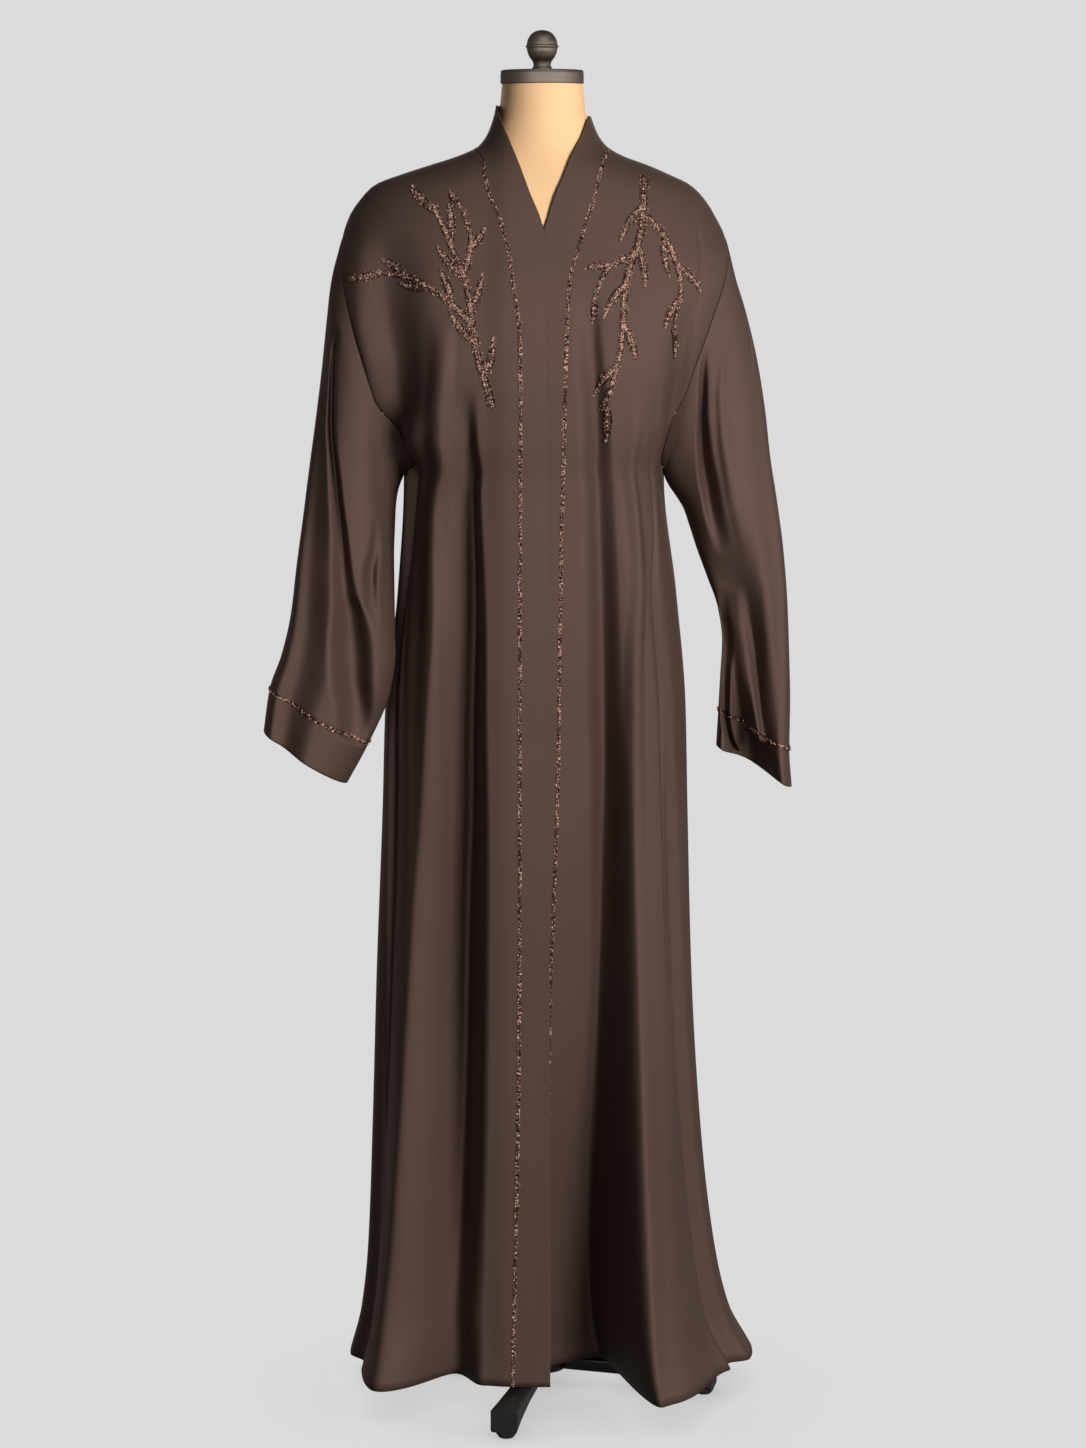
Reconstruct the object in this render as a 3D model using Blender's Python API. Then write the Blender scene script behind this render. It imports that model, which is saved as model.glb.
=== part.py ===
"""Open-front abaya cloak hanging on a limbless dress form with a four-footed stand.

Metres, +Z up, -Y is the front. Cloth pieces are closed walls: an outer surface
worked out from body loops or sleeve rings, and the same surface moved inwards.
"""
import math

import bpy
import numpy as np

# Frame: the pole stands this far from the middle of the bounding box
POLE_X = 0.0157

# Cloth and seams
CLOTH = 0.0015
SEAM_GAP = 0.0003
ARM_GAP = 0.0005
CUFF_GAP = 0.0004
OVERLAP_LIFT = 0.0024
OVERLAP_FULL_X = 0.040
OVERLAP_FADE_X = 0.066

# Heights of the garment
HEM_Z = 0.040
UNDERARM_Z = 1.085
SHOULDER_TIP_Z = 1.355
NECK_SEAM_Z = 1.458
FRONT_TOP_Z = 1.4545
NECK_EDGE_LEFT_Z = 1.504
NECK_EDGE_RIGHT_Z = 1.4915
NECK_EDGE_BACK_Z = 1.500

# The armhole is open over this share of the body's depth
ARM_OPEN = 0.52

# Mesh divisions
SKIRT_ROWS = 13
ARM_ROWS = 10
SHOULDER_ROWS = 6
FRONT_COLUMNS = 20
BACK_COLUMNS = 20
BAND_COLUMNS = 3
SLEEVE_RINGS = 11
CUFF_RINGS = 2
FORM_COLUMNS = 28

# Body loops: half widths to the viewer's left and right, depths to front and back
SECTION_COLUMNS = ("height", "left", "right", "front", "back", "power")
SECTIONS = (
    (0.040, 0.2300, 0.2500, 0.1350, 0.1550, 2.40),
    (0.090, 0.2170, 0.2230, 0.1320, 0.1500, 2.40),
    (0.170, 0.2080, 0.2040, 0.1290, 0.1430, 2.38),
    (0.320, 0.2015, 0.1860, 0.1250, 0.1350, 2.35),
    (0.500, 0.1955, 0.1745, 0.1220, 0.1280, 2.32),
    (0.700, 0.1870, 0.1685, 0.1200, 0.1220, 2.30),
    (0.820, 0.1830, 0.1655, 0.1190, 0.1180, 2.30),
    (0.950, 0.1680, 0.1540, 0.1190, 0.1130, 2.30),
    (1.085, 0.1600, 0.1390, 0.1210, 0.1080, 2.30),
    (1.130, 0.1790, 0.1480, 0.1250, 0.1090, 2.30),
    (1.200, 0.1990, 0.1680, 0.1270, 0.1120, 2.30),
    (1.262, 0.2170, 0.1900, 0.1200, 0.1150, 2.28),
    (1.315, 0.2280, 0.2070, 0.1090, 0.1130, 2.24),
    (1.340, 0.2310, 0.2105, 0.1020, 0.1090, 2.20),
    (1.355, 0.2285, 0.2075, 0.0980, 0.1060, 2.18),
    (1.381, 0.2196, 0.1950, 0.0900, 0.0990, 2.14),
    (1.398, 0.2080, 0.1842, 0.0840, 0.0940, 2.10),
    (1.415, 0.1909, 0.1671, 0.0770, 0.0870, 2.06),
    (1.426, 0.1625, 0.1443, 0.0720, 0.0820, 2.04),
    (1.437, 0.1283, 0.1190, 0.0665, 0.0765, 2.02),
    (1.448, 0.0942, 0.0890, 0.0615, 0.0710, 2.00),
    (1.458, 0.0735, 0.0725, 0.0575, 0.0665, 2.00),
    (1.475, 0.0615, 0.0605, 0.0535, 0.0600, 2.00),
    (1.504, 0.0527, 0.0517, 0.0500, 0.0535, 2.00),
    (1.535, 0.0497, 0.0487, 0.0485, 0.0495, 2.00),
)

# Folds: place is the share of the half width, on the front or back face; a
# positive depth is a valley; inner and outer are the reach to either side
FOLD_COLUMNS = ("side", "face", "place_top", "place_hem", "start", "depth",
                "inner", "outer", "growth")
FOLDS = (
    (-1, "front", 0.455, 0.385, 1.240, 0.090, 0.042, 0.062, 1.35),
    (-1, "front", 0.620, 0.640, 0.900, -0.066, 0.070, 0.095, 1.90),
    (-1, "front", 0.930, 0.965, 0.800, 0.010, 0.030, 0.030, 1.30),
    (-1, "back", 0.800, 0.740, 1.000, 0.058, 0.060, 0.048, 1.40),
    (-1, "back", 0.300, 0.330, 1.150, 0.072, 0.052, 0.070, 1.30),
    (1, "front", 0.560, 0.345, 1.200, 0.100, 0.215, 0.034, 1.55),
    (1, "front", 0.640, 0.470, 0.950, -0.078, 0.042, 0.110, 1.90),
    (1, "front", 0.800, 0.930, 1.150, 0.016, 0.022, 0.028, 1.20),
    (1, "back", 0.850, 0.800, 0.950, 0.050, 0.062, 0.062, 1.40),
    (1, "back", 0.420, 0.400, 1.100, 0.080, 0.070, 0.050, 1.30),
)

# Front band: the seam by height, and the free edge paired with it
BAND_COLUMNS_TABLE = ("seam_z", "seam_x", "edge_x", "edge_z")
BAND_RIGHT_OF_WEARER = (
    (0.040, -0.0350, 0.0085, 0.040),
    (0.170, -0.0320, 0.0085, 0.170),
    (0.500, -0.0268, 0.0075, 0.500),
    (0.950, -0.0258, 0.0065, 0.950),
    (1.180, -0.0248, 0.0050, 1.180),
    (1.243, -0.0257, 0.0047, 1.245),
    (1.275, -0.0283, 0.0045, 1.280),
    (1.297, -0.0322, 0.0042, 1.308),
    (1.335, -0.0372, 0.0025, 1.356),
    (1.358, -0.0425, -0.0030, 1.379),
    (1.383, -0.0500, -0.0147, 1.407),
    (1.400, -0.0583, -0.0265, 1.439),
    (1.424, -0.0650, -0.0370, 1.4655),
    (1.441, -0.0672, -0.0450, 1.484),
    (1.456, -0.0760, -0.0527, 1.5035),
)
BAND_LEFT_OF_WEARER = (
    (0.040, -0.0010, -0.0340, 0.040),
    (0.500, 0.0092, -0.0240, 0.500),
    (0.750, 0.0176, -0.0165, 0.750),
    (0.950, 0.0200, -0.0140, 0.950),
    (1.180, 0.0247, -0.0105, 1.180),
    (1.285, 0.0280, -0.0090, 1.290),
    (1.310, 0.0302, -0.0075, 1.321),
    (1.335, 0.0365, -0.0030, 1.352),
    (1.358, 0.0432, 0.0045, 1.377),
    (1.383, 0.0515, 0.0125, 1.402),
    (1.400, 0.0566, 0.0225, 1.425),
    (1.424, 0.0630, 0.0320, 1.4485),
    (1.441, 0.0680, 0.0430, 1.4690),
    (1.456, 0.0750, 0.0519, 1.4910),
)

# Sleeve rings: outer and inner ends seen from the front, and depth across
RING_COLUMNS = ("outer_x", "outer_z", "inner_x", "inner_z", "mid_y", "front", "back")
RINGS_RIGHT_ARM = (
    (-0.2285, 1.3550, -0.1600, 1.0850, 0.000, 0.062, 0.058),
    (-0.2395, 1.3130, -0.1630, 1.0780, -0.002, 0.061, 0.057),
    (-0.2465, 1.2630, -0.1665, 1.0670, -0.005, 0.059, 0.055),
    (-0.2530, 1.2050, -0.1690, 1.0500, -0.009, 0.057, 0.053),
    (-0.2600, 1.1500, -0.1700, 1.0270, -0.014, 0.055, 0.051),
    (-0.2675, 1.0950, -0.1710, 0.9950, -0.021, 0.053, 0.049),
    (-0.2745, 1.0400, -0.1705, 0.9600, -0.029, 0.051, 0.047),
    (-0.2815, 0.9850, -0.1695, 0.9250, -0.045, 0.048, 0.041),
    (-0.2880, 0.9300, -0.1685, 0.8850, -0.055, 0.048, 0.037),
    (-0.2985, 0.8850, -0.1745, 0.8420, -0.062, 0.049, 0.037),
    (-0.3120, 0.8470, -0.1990, 0.7840, -0.065, 0.050, 0.039),
    (-0.3195, 0.7980, -0.2240, 0.7380, -0.067, 0.052, 0.041),
)
RINGS_LEFT_ARM = (
    (0.2075, 1.3550, 0.1390, 1.0850, 0.000, 0.062, 0.058),
    (0.2180, 1.3150, 0.1415, 1.0790, -0.001, 0.061, 0.057),
    (0.2315, 1.2720, 0.1460, 1.0710, -0.002, 0.059, 0.055),
    (0.2450, 1.2170, 0.1530, 1.0610, -0.003, 0.057, 0.053),
    (0.2545, 1.1600, 0.1615, 1.0470, -0.005, 0.055, 0.051),
    (0.2610, 1.1050, 0.1685, 1.0270, -0.008, 0.053, 0.050),
    (0.2690, 1.0550, 0.1770, 1.0010, -0.011, 0.051, 0.049),
    (0.2765, 1.0000, 0.1885, 0.9700, -0.014, 0.050, 0.048),
    (0.2815, 0.9400, 0.2015, 0.9330, -0.017, 0.050, 0.048),
    (0.2840, 0.8800, 0.2065, 0.8950, -0.020, 0.050, 0.047),
    (0.2855, 0.8250, 0.2045, 0.8550, -0.022, 0.051, 0.046),
    (0.2850, 0.7710, 0.2025, 0.8160, -0.024, 0.052, 0.046),
    (0.2880, 0.7270, 0.2003, 0.7750, -0.026, 0.053, 0.046),
)
CUFF_RING_FROM_END = 1

# Sleeve folds: angles in degrees from the inner end, 90 at the front
SLEEVE_FOLD_COLUMNS = ("side", "angle_top", "angle_end", "start", "depth",
                       "toward_inner", "toward_outer", "growth")
SLEEVE_FOLDS = (
    (-1, 150.0, 118.0, 0.10, 0.016, 34.0, 30.0, 0.8),
    (-1, 245.0, 250.0, 0.15, 0.014, 36.0, 36.0, 0.8),
    (1, 60.0, 84.0, 0.45, 0.076, 64.0, 54.0, 1.1),
    (1, 150.0, 118.0, 0.05, 0.008, 26.0, 26.0, 0.6),
    (1, 250.0, 240.0, 0.20, 0.010, 40.0, 36.0, 0.8),
)

# Dress form: loops under the shoulders keep this clearance from the cloth
FORM_CLEARANCE = 0.0036
FORM_DROP = 0.0030
FORM_TOP_Z = 1.5276
FORM_LOWER = (
    (0.7800, 0.1300, 0.1300, 0.0700, 0.0840, 2.20),
    (0.7900, 0.1390, 0.1390, 0.0760, 0.0920, 2.20),
    (0.8400, 0.1430, 0.1410, 0.0790, 0.0970, 2.20),
    (0.9200, 0.1340, 0.1300, 0.0800, 0.0900, 2.20),
    (1.0000, 0.1210, 0.1190, 0.0850, 0.0830, 2.20),
    (1.0850, 0.1330, 0.1260, 0.0990, 0.0900, 2.20),
    (1.1500, 0.1500, 0.1390, 0.1090, 0.0960, 2.20),
    (1.2000, 0.1650, 0.1520, 0.1120, 0.0990, 2.20),
    (1.2620, 0.1850, 0.1700, 0.1090, 0.1040, 2.20),
    (1.3150, 0.1970, 0.1840, 0.1010, 0.1040, 2.18),
    (1.3550, 0.2030, 0.1900, 0.0930, 0.1000, 2.16),
    (1.3820, 0.2020, 0.1850, 0.0865, 0.0950, 2.14),
)
FORM_TOP_FROM_Z = 1.397

# Neck cap, knob and stand
CAP_RADIUS = 0.0472
CAP_BASE_Z = 1.5279
CAP_TOP_Z = 1.5431
CAP_EDGE = 0.0025
KNOB_PROFILE = (
    (0.0114, 1.5434), (0.0114, 1.5450), (0.0098, 1.5478), (0.0104, 1.5515),
    (0.0146, 1.5580), (0.0170, 1.5645), (0.0176, 1.5678), (0.0187, 1.5686),
    (0.0187, 1.5700), (0.0176, 1.5708), (0.0170, 1.5745), (0.0150, 1.5795),
    (0.0115, 1.5838), (0.0062, 1.5867),
)
KNOB_TOP_Z = 1.5875
KNOB_X = -0.0010
POLE_RADIUS = 0.0125
HUB_RADIUS = 0.0270
HUB_BASE_Z = 0.0180
HUB_TOP_Z = 0.0700
PART_GAP = 0.0003
LEG_COUNT = 4
LEG_FIRST_ANGLE = math.radians(-102.4)
LEG_COLUMNS = ("reach", "half_width", "low", "high")
LEG = (
    (0.0273, 0.0120, 0.0200, 0.0350),
    (0.1100, 0.0125, 0.0180, 0.0345),
    (0.1750, 0.0140, 0.0130, 0.0355),
    (0.2080, 0.0155, 0.0086, 0.0360),
)
LEG_CHAMFER = 0.0030
PAD_REACH = 0.1950
PAD_TOP_RADIUS = 0.0120
PAD_FOOT_RADIUS = 0.0085
PAD_TOP_Z = 0.0083

LEFT = -1
RIGHT = 1
DENSE = 420
STEP = 1e-4


def column(table, names, name):
    """One named column of a table as an array."""
    return np.array([row[names.index(name)] for row in table], float)


def smooth(at, xs, ys):
    """Monotone cubic curve through table points, held at both ends."""
    at = np.clip(np.asarray(at, float), xs[0], xs[-1])
    gap = np.diff(xs)
    rise = np.diff(ys) / gap
    slope = np.empty(len(xs))
    slope[0], slope[-1] = rise[0], rise[-1]
    before, after = rise[:-1], rise[1:]
    w1, w2 = 2 * gap[1:] + gap[:-1], gap[1:] + 2 * gap[:-1]
    same = before * after > 0
    safe_b, safe_a = np.where(same, before, 1.0), np.where(same, after, 1.0)
    slope[1:-1] = np.where(same, (w1 + w2) / (w1 / safe_b + w2 / safe_a), 0.0)
    k = np.clip(np.searchsorted(xs, at, side="right") - 1, 0, len(xs) - 2)
    h, t = gap[k], (at - xs[k]) / gap[k]
    low = (1 + 2 * t) * (1 - t) ** 2 * ys[k] + t * (1 - t) ** 2 * h * slope[k]
    high = t * t * (3 - 2 * t) * ys[k + 1] + t * t * (t - 1) * h * slope[k + 1]
    return low + high


def bump(t):
    """Rounded hump: one at the middle, flat zero beyond one either way."""
    return np.where(np.abs(t) < 1, np.cos(0.5 * np.pi * np.clip(t, -1, 1)) ** 2, 0.0)


def ease(t):
    """Smooth step from zero to one."""
    t = np.clip(t, 0, 1)
    return t * t * (3 - 2 * t)


def unit(v):
    """Vectors scaled to length one."""
    return v / np.maximum(np.linalg.norm(v, axis=-1, keepdims=True), 1e-12)


def arm_angle(z):
    """Angle round the armhole at a height: 0 at the underarm, pi at the top."""
    middle = (UNDERARM_Z + SHOULDER_TIP_Z) / 2
    reach = (SHOULDER_TIP_Z - UNDERARM_Z) / 2
    return math.acos(float(np.clip((middle - z) / reach, -1, 1)))


def section(side, z):
    """Half width, front depth, back depth and power of the body loop at z."""
    heights = column(SECTIONS, SECTION_COLUMNS, "height")
    names = ("left" if side == LEFT else "right", "front", "back", "power")
    half, front, back, power = (
        float(smooth(z, heights, column(SECTIONS, SECTION_COLUMNS, n))) for n in names)
    open_share = ARM_OPEN * math.sin(arm_angle(z))
    half /= (1 - open_share ** power) ** (1 / power)
    return half, front, back, power


def loop_point_angle(side, z, x):
    """Loop angle of the front point whose x is given (0 at the centre front)."""
    half, _, _, power = section(side, z)
    share = min(1.0, abs(x) / half)
    return math.copysign(math.asin(share ** (power / 2)), x * side)


def half_curve(side, z):
    """Folded half loop from past the centre front to the centre back."""
    half, front, back, power = section(side, z)
    angle = np.linspace(-0.9, np.pi, DENSE)
    s, c = np.sin(angle), np.cos(angle)
    x = side * half * np.sign(s) * np.abs(s) ** (2 / power)
    y = np.where(c > 0, -front, back) * np.abs(c) ** (2 / power)
    along = np.gradient(np.stack([x, y], 1), axis=0)
    along = unit(along)
    inward = side * np.stack([-along[:, 1], along[:, 0]], 1)
    steps = np.hypot(np.diff(x), np.diff(y))
    arc = np.concatenate([[0.0], np.cumsum(steps)])
    arc -= np.interp(0.0, angle, arc)
    move = np.zeros(DENSE)
    for fold in FOLDS:
        f = dict(zip(FOLD_COLUMNS, fold))
        if f["side"] != side or z >= f["start"]:
            continue
        grown = (f["start"] - z) / (f["start"] - HEM_Z)
        place = f["place_top"] + (f["place_hem"] - f["place_top"]) * grown
        at = math.asin(place ** (power / 2))
        at = at if f["face"] == "front" else math.pi - at
        off = arc - np.interp(at, angle, arc)
        reach = np.where(off < 0, f["inner"], f["outer"]) * (0.6 + 0.4 * grown)
        if f["face"] == "back":
            reach = np.where(off < 0, f["outer"], f["inner"]) * (0.6 + 0.4 * grown)
        move += f["depth"] * max(grown, 0.0) ** f["growth"] * bump(off / reach)
    if side == LEFT:
        lift = ease((OVERLAP_FADE_X - np.abs(x)) / (OVERLAP_FADE_X - OVERLAP_FULL_X))
        lift = np.where(x > 0, 1.0, lift)
        move -= OVERLAP_LIFT * np.where(c > 0, lift, 0.0)
    points = np.stack([x + inward[:, 0] * move, y + inward[:, 1] * move,
                       np.full(DENSE, z)], 1)
    return angle, points


def cut(side, z, start, stop, count=260):
    """The part of a half loop between two loop angles."""
    angle, points = half_curve(side, z)
    wanted = np.linspace(start, stop, count)
    return np.stack([np.interp(wanted, angle, points[:, k]) for k in range(3)], 1)


def resample(points, shares, trim):
    """Points at shares of the curve's length, with both ends trimmed."""
    length = np.concatenate([[0.0], np.cumsum(np.linalg.norm(np.diff(points, axis=0), axis=1))])
    wanted = trim + np.asarray(shares) * (length[-1] - 2 * trim)
    return np.stack([np.interp(wanted, length, points[:, k]) for k in range(3)], 1)


def band_table(side):
    """Front band table of one side."""
    return BAND_RIGHT_OF_WEARER if side == LEFT else BAND_LEFT_OF_WEARER


def seam_angle(side, z):
    """Loop angle of the band seam at a height."""
    table = band_table(side)
    x = float(smooth(z, column(table, BAND_COLUMNS_TABLE, "seam_z"),
                     column(table, BAND_COLUMNS_TABLE, "seam_x")))
    return loop_point_angle(side, z, x)


def armhole_cut(side, z):
    """Loop angle where the front panel stops: side seam, armhole or shoulder seam."""
    power = section(side, z)[3]
    return math.acos((ARM_OPEN * math.sin(arm_angle(z))) ** (power / 2))


def body_heights():
    """Row heights: even down the skirt, even round the armhole and along the shoulder."""
    skirt = np.linspace(HEM_Z, UNDERARM_Z, SKIRT_ROWS + 1)
    round_arm = np.linspace(0, np.pi, ARM_ROWS + 1)
    middle = (UNDERARM_Z + SHOULDER_TIP_Z) / 2
    arm = middle - (SHOULDER_TIP_Z - UNDERARM_Z) / 2 * np.cos(round_arm)
    fine = np.linspace(SHOULDER_TIP_Z, FRONT_TOP_Z, 200)
    widths = np.array([section(LEFT, z)[0] for z in fine])
    run = np.concatenate([[0.0], np.cumsum(np.hypot(np.diff(fine), np.diff(widths)))])
    shoulder = np.interp(np.linspace(0, run[-1], SHOULDER_ROWS + 1), run, fine)
    return np.concatenate([skirt, arm[1:], shoulder[1:]])


def front_row(side, z, shares):
    """One row of a front panel, from the band seam out to its side edge."""
    points = cut(side, z, seam_angle(side, z), armhole_cut(side, z))
    return resample(points, shares, SEAM_GAP / 2)


def back_row(z, shares):
    """One row of the back panel, from the viewer's left edge to the right edge."""
    left = cut(LEFT, z, np.pi - armhole_cut(LEFT, z), np.pi)
    right = cut(RIGHT, z, np.pi - armhole_cut(RIGHT, z), np.pi)[::-1]
    return resample(np.concatenate([left, right[1:]]), shares, SEAM_GAP / 2)


def grid_of(row_at, heights, shares):
    """Rows stacked into a grid, with surface normals by small differences."""
    grid = np.stack([row_at(z, shares) for z in heights])
    low, high = np.clip(shares - 1e-3, 0, 1), np.clip(shares + 1e-3, 0, 1)
    across = np.stack([row_at(z, high) - row_at(z, low) for z in heights])
    up = np.stack([row_at(z + STEP, shares) - row_at(z - STEP, shares) for z in heights])
    return grid, unit(np.cross(across, up))


def sleeve_curves(side):
    """Ring columns of one sleeve as curves over 0 (armhole) to 1 (hem)."""
    table = RINGS_RIGHT_ARM if side == LEFT else RINGS_LEFT_ARM
    stations = np.linspace(0, 1, len(table))
    return stations, {n: column(table, RING_COLUMNS, n) for n in RING_COLUMNS}


def ring(side, t, angle):
    """Sleeve ring: an ellipse between its outer and inner ends, with its folds."""
    stations, columns = sleeve_curves(side)
    v = {n: float(smooth(t, stations, c)) for n, c in columns.items()}
    s, c = np.sin(angle), np.cos(angle)
    x = (v["inner_x"] + v["outer_x"]) / 2 + (v["inner_x"] - v["outer_x"]) / 2 * c
    z = (v["inner_z"] + v["outer_z"]) / 2 + (v["inner_z"] - v["outer_z"]) / 2 * c
    y = v["mid_y"] - np.where(s > 0, v["front"], v["back"]) * s
    for fold in SLEEVE_FOLDS:
        f = dict(zip(SLEEVE_FOLD_COLUMNS, fold))
        if f["side"] != side or t <= f["start"]:
            continue
        grown = (t - f["start"]) / (1 - f["start"])
        at = math.radians(f["angle_top"] + (f["angle_end"] - f["angle_top"]) * grown)
        off = (angle - at + np.pi) % (2 * np.pi) - np.pi
        reach = np.radians(np.where(off < 0, f["toward_inner"], f["toward_outer"]))
        push = f["depth"] * grown ** f["growth"] * bump(off / reach)
        y = y + np.where(s > 0, 1, -1) * push
    return np.stack([x, y, z], -1)


def armhole_loop(side, angle):
    """Points of the body's surface round the armhole."""
    middle, reach = (UNDERARM_Z + SHOULDER_TIP_Z) / 2, (SHOULDER_TIP_Z - UNDERARM_Z) / 2
    found = []
    for a in np.atleast_1d(angle):
        a = a % (2 * np.pi)
        z = middle - reach * math.cos(a)
        at = armhole_cut(side, z)
        at = at if a <= np.pi else np.pi - at
        dense, points = half_curve(side, z)
        found.append([np.interp(at, dense, points[:, k]) for k in range(3)])
    return np.array(found)


ARM_LOOPS = {}


def sleeve_row(side, t, angle):
    """Sleeve ring that starts on the armhole and eases into the ring table."""
    key = (side, tuple(np.round(angle, 9)))
    if key not in ARM_LOOPS:
        ARM_LOOPS[key] = armhole_loop(side, angle) - ring(side, 0.0, angle)
    fade = 1 - ease(t / 0.45)
    return ring(side, t, angle) + fade * ARM_LOOPS[key]


def sleeve_grid(side, stations, angle):
    """Sleeve rings stacked, with outward normals."""
    grid = np.stack([sleeve_row(side, t, angle) for t in stations])
    along = np.stack([sleeve_row(side, min(t + 1e-3, 1), angle)
                      - sleeve_row(side, max(t - 1e-3, 0), angle) for t in stations])
    around = np.stack([sleeve_row(side, t, angle + 1e-3) - sleeve_row(side, t, angle - 1e-3)
                       for t in stations])
    return grid, unit(np.cross(along, around)) * side


def band_point(side, seam_at, seam_z, edge_at, edge_z, share):
    """Point of the band between its seam (0) and its free edge (1)."""
    z = seam_z + (edge_z - seam_z) * share
    at = seam_at + (edge_at - seam_at) * share
    angle, points = half_curve(side, z)
    return [np.interp(at, angle, points[:, k]) for k in range(3)]


def band_stations(side, heights):
    """Seam and edge of the band, from the centre back round the neck to the hem."""
    table = band_table(side)
    neck_z = NECK_EDGE_LEFT_Z if side == LEFT else NECK_EDGE_RIGHT_Z
    stations = []
    for at in np.linspace(np.pi, np.pi / 2, 9):
        rise = (at - np.pi / 2) / (np.pi / 2)
        stations.append((at, NECK_SEAM_Z, at, neck_z + (NECK_EDGE_BACK_Z - neck_z) * ease(rise)))
    zs = column(table, BAND_COLUMNS_TABLE, "seam_z")
    for z in heights[::-1]:
        edge_x = float(smooth(z, zs, column(table, BAND_COLUMNS_TABLE, "edge_x")))
        edge_z = float(smooth(z, zs, column(table, BAND_COLUMNS_TABLE, "edge_z")))
        stations.append((seam_angle(side, z), z, loop_point_angle(side, edge_z, edge_x), edge_z))
    return stations


def band_grid(side, heights):
    """Band points and normals on the body's surface."""
    stations = band_stations(side, heights)
    shares = np.linspace(0, 1, BAND_COLUMNS + 1)

    def at(station, share, nudge):
        sa, sz, ea, ez = station
        return np.array(band_point(side, sa + nudge[0], sz + nudge[1],
                                   ea + nudge[0], ez + nudge[1], share))

    grid, normals = [], []
    for station in stations:
        width = np.linalg.norm(at(station, 1, (0, 0)) - at(station, 0, (0, 0)))
        trimmed = SEAM_GAP / 2 / width + shares * (1 - SEAM_GAP / 2 / width)
        points = np.array([at(station, s, (0, 0)) for s in trimmed])
        turned = np.array([at(station, s, (2e-3, 0)) - at(station, s, (-2e-3, 0)) for s in trimmed])
        raised = np.array([at(station, s, (0, STEP)) - at(station, s, (0, -STEP)) for s in trimmed])
        grid.append(points)
        normals.append(unit(np.cross(turned, raised)) * side)
    grid, normals = np.array(grid), np.array(normals)
    along = unit(grid[1] - grid[0])
    grid[0] += along * SEAM_GAP / 2
    return grid, normals


def material(name, colour, roughness, metallic=0.0):
    """Plain surface colour for one sub-part."""
    made = bpy.data.materials.new(name)
    made.use_nodes = True
    shader = made.node_tree.nodes["Principled BSDF"]
    shader.inputs["Base Color"].default_value = (*colour, 1.0)
    shader.inputs["Roughness"].default_value = roughness
    shader.inputs["Metallic"].default_value = metallic
    return made


BROWN = (0.075, 0.048, 0.038)
CREAM = (0.86, 0.66, 0.50)
NICKEL = (0.42, 0.38, 0.33)
BLACK = (0.012, 0.012, 0.013)


def solid(name, points, faces, colour, roughness, metallic=0.0, rounded=None):
    """Closed mesh object at the frame's origin, facing out; rounded counts smooth faces."""
    points = np.array(points, float) + np.array([POLE_X, 0, 0])
    faces = np.array(faces, int)
    a, b, c = points[faces[:, 0]], points[faces[:, 1]], points[faces[:, 2]]
    if np.einsum("ij,ij->i", a, np.cross(b, c)).sum() < 0:
        faces = faces[:, ::-1]
    mesh = bpy.data.meshes.new(name)
    mesh.from_pydata(points.tolist(), [], faces.tolist())
    mesh.update()
    count = len(mesh.polygons)
    rounded = count if rounded is None else rounded
    mesh.polygons.foreach_set("use_smooth", [k < rounded for k in range(count)])
    made = bpy.data.objects.new(name, mesh)
    bpy.context.scene.collection.objects.link(made)
    mesh.materials.append(material(name + "_colour", colour, roughness, metallic))
    return made


def wall(name, grid, normals, closed=False, colour=BROWN):
    """Cloth wall: the grid, the grid moved in by the cloth's thickness, and rims."""
    rows, columns = grid.shape[:2]
    inner = grid - normals * CLOTH
    points = np.concatenate([grid.reshape(-1, 3), inner.reshape(-1, 3)])
    number = np.arange(rows * columns).reshape(rows, columns)
    if closed:
        number = np.concatenate([number, number[:, :1]], axis=1)
    under = number + rows * columns
    a, b = number[:-1, :-1].ravel(), number[:-1, 1:].ravel()
    c, d = number[1:, 1:].ravel(), number[1:, :-1].ravel()
    size = rows * columns
    faces = [np.stack([a, b, c], 1), np.stack([a, c, d], 1),
             np.stack([a, c, b], 1) + size, np.stack([a, d, c], 1) + size]

    smooth_count = sum(len(f) for f in faces)

    def rim(top, low, turned_over=False):
        step = -1 if turned_over else 1
        faces.append(np.stack([top[1:], top[:-1], low[:-1]], 1)[:, ::step])
        faces.append(np.stack([top[1:], low[:-1], low[1:]], 1)[:, ::step])

    rim(number[0], under[0])
    rim(number[-1], under[-1], True)
    if not closed:
        rim(number[:, 0], under[:, 0], True)
        rim(number[:, -1], under[:, -1])
    return solid(name, points, np.concatenate(faces), colour, 0.55, rounded=smooth_count)


def stack(name, rings, colour, roughness, metallic=0.0, rounded=True):
    """Solid through a stack of rings of equal count, closed by flat ends."""
    rings = np.array(rings, float)
    levels, count = rings.shape[:2]
    ends = np.stack([rings[0].mean(0), rings[-1].mean(0)])
    points = np.concatenate([rings.reshape(-1, 3), ends])
    number = np.arange(levels * count).reshape(levels, count)
    number = np.concatenate([number, number[:, :1]], axis=1)
    a, b = number[:-1, :-1].ravel(), number[:-1, 1:].ravel()
    c, d = number[1:, 1:].ravel(), number[1:, :-1].ravel()
    low, high = levels * count, levels * count + 1
    foot, head = number[0], number[-1]
    faces = np.concatenate([
        np.stack([a, b, c], 1), np.stack([a, c, d], 1),
        np.stack([foot[1:], foot[:-1], np.full(count, low)], 1),
        np.stack([head[:-1], head[1:], np.full(count, high)], 1)])
    smooth_count = 2 * len(a) if rounded else 0
    return solid(name, points, faces, colour, roughness, metallic, smooth_count)


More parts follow.
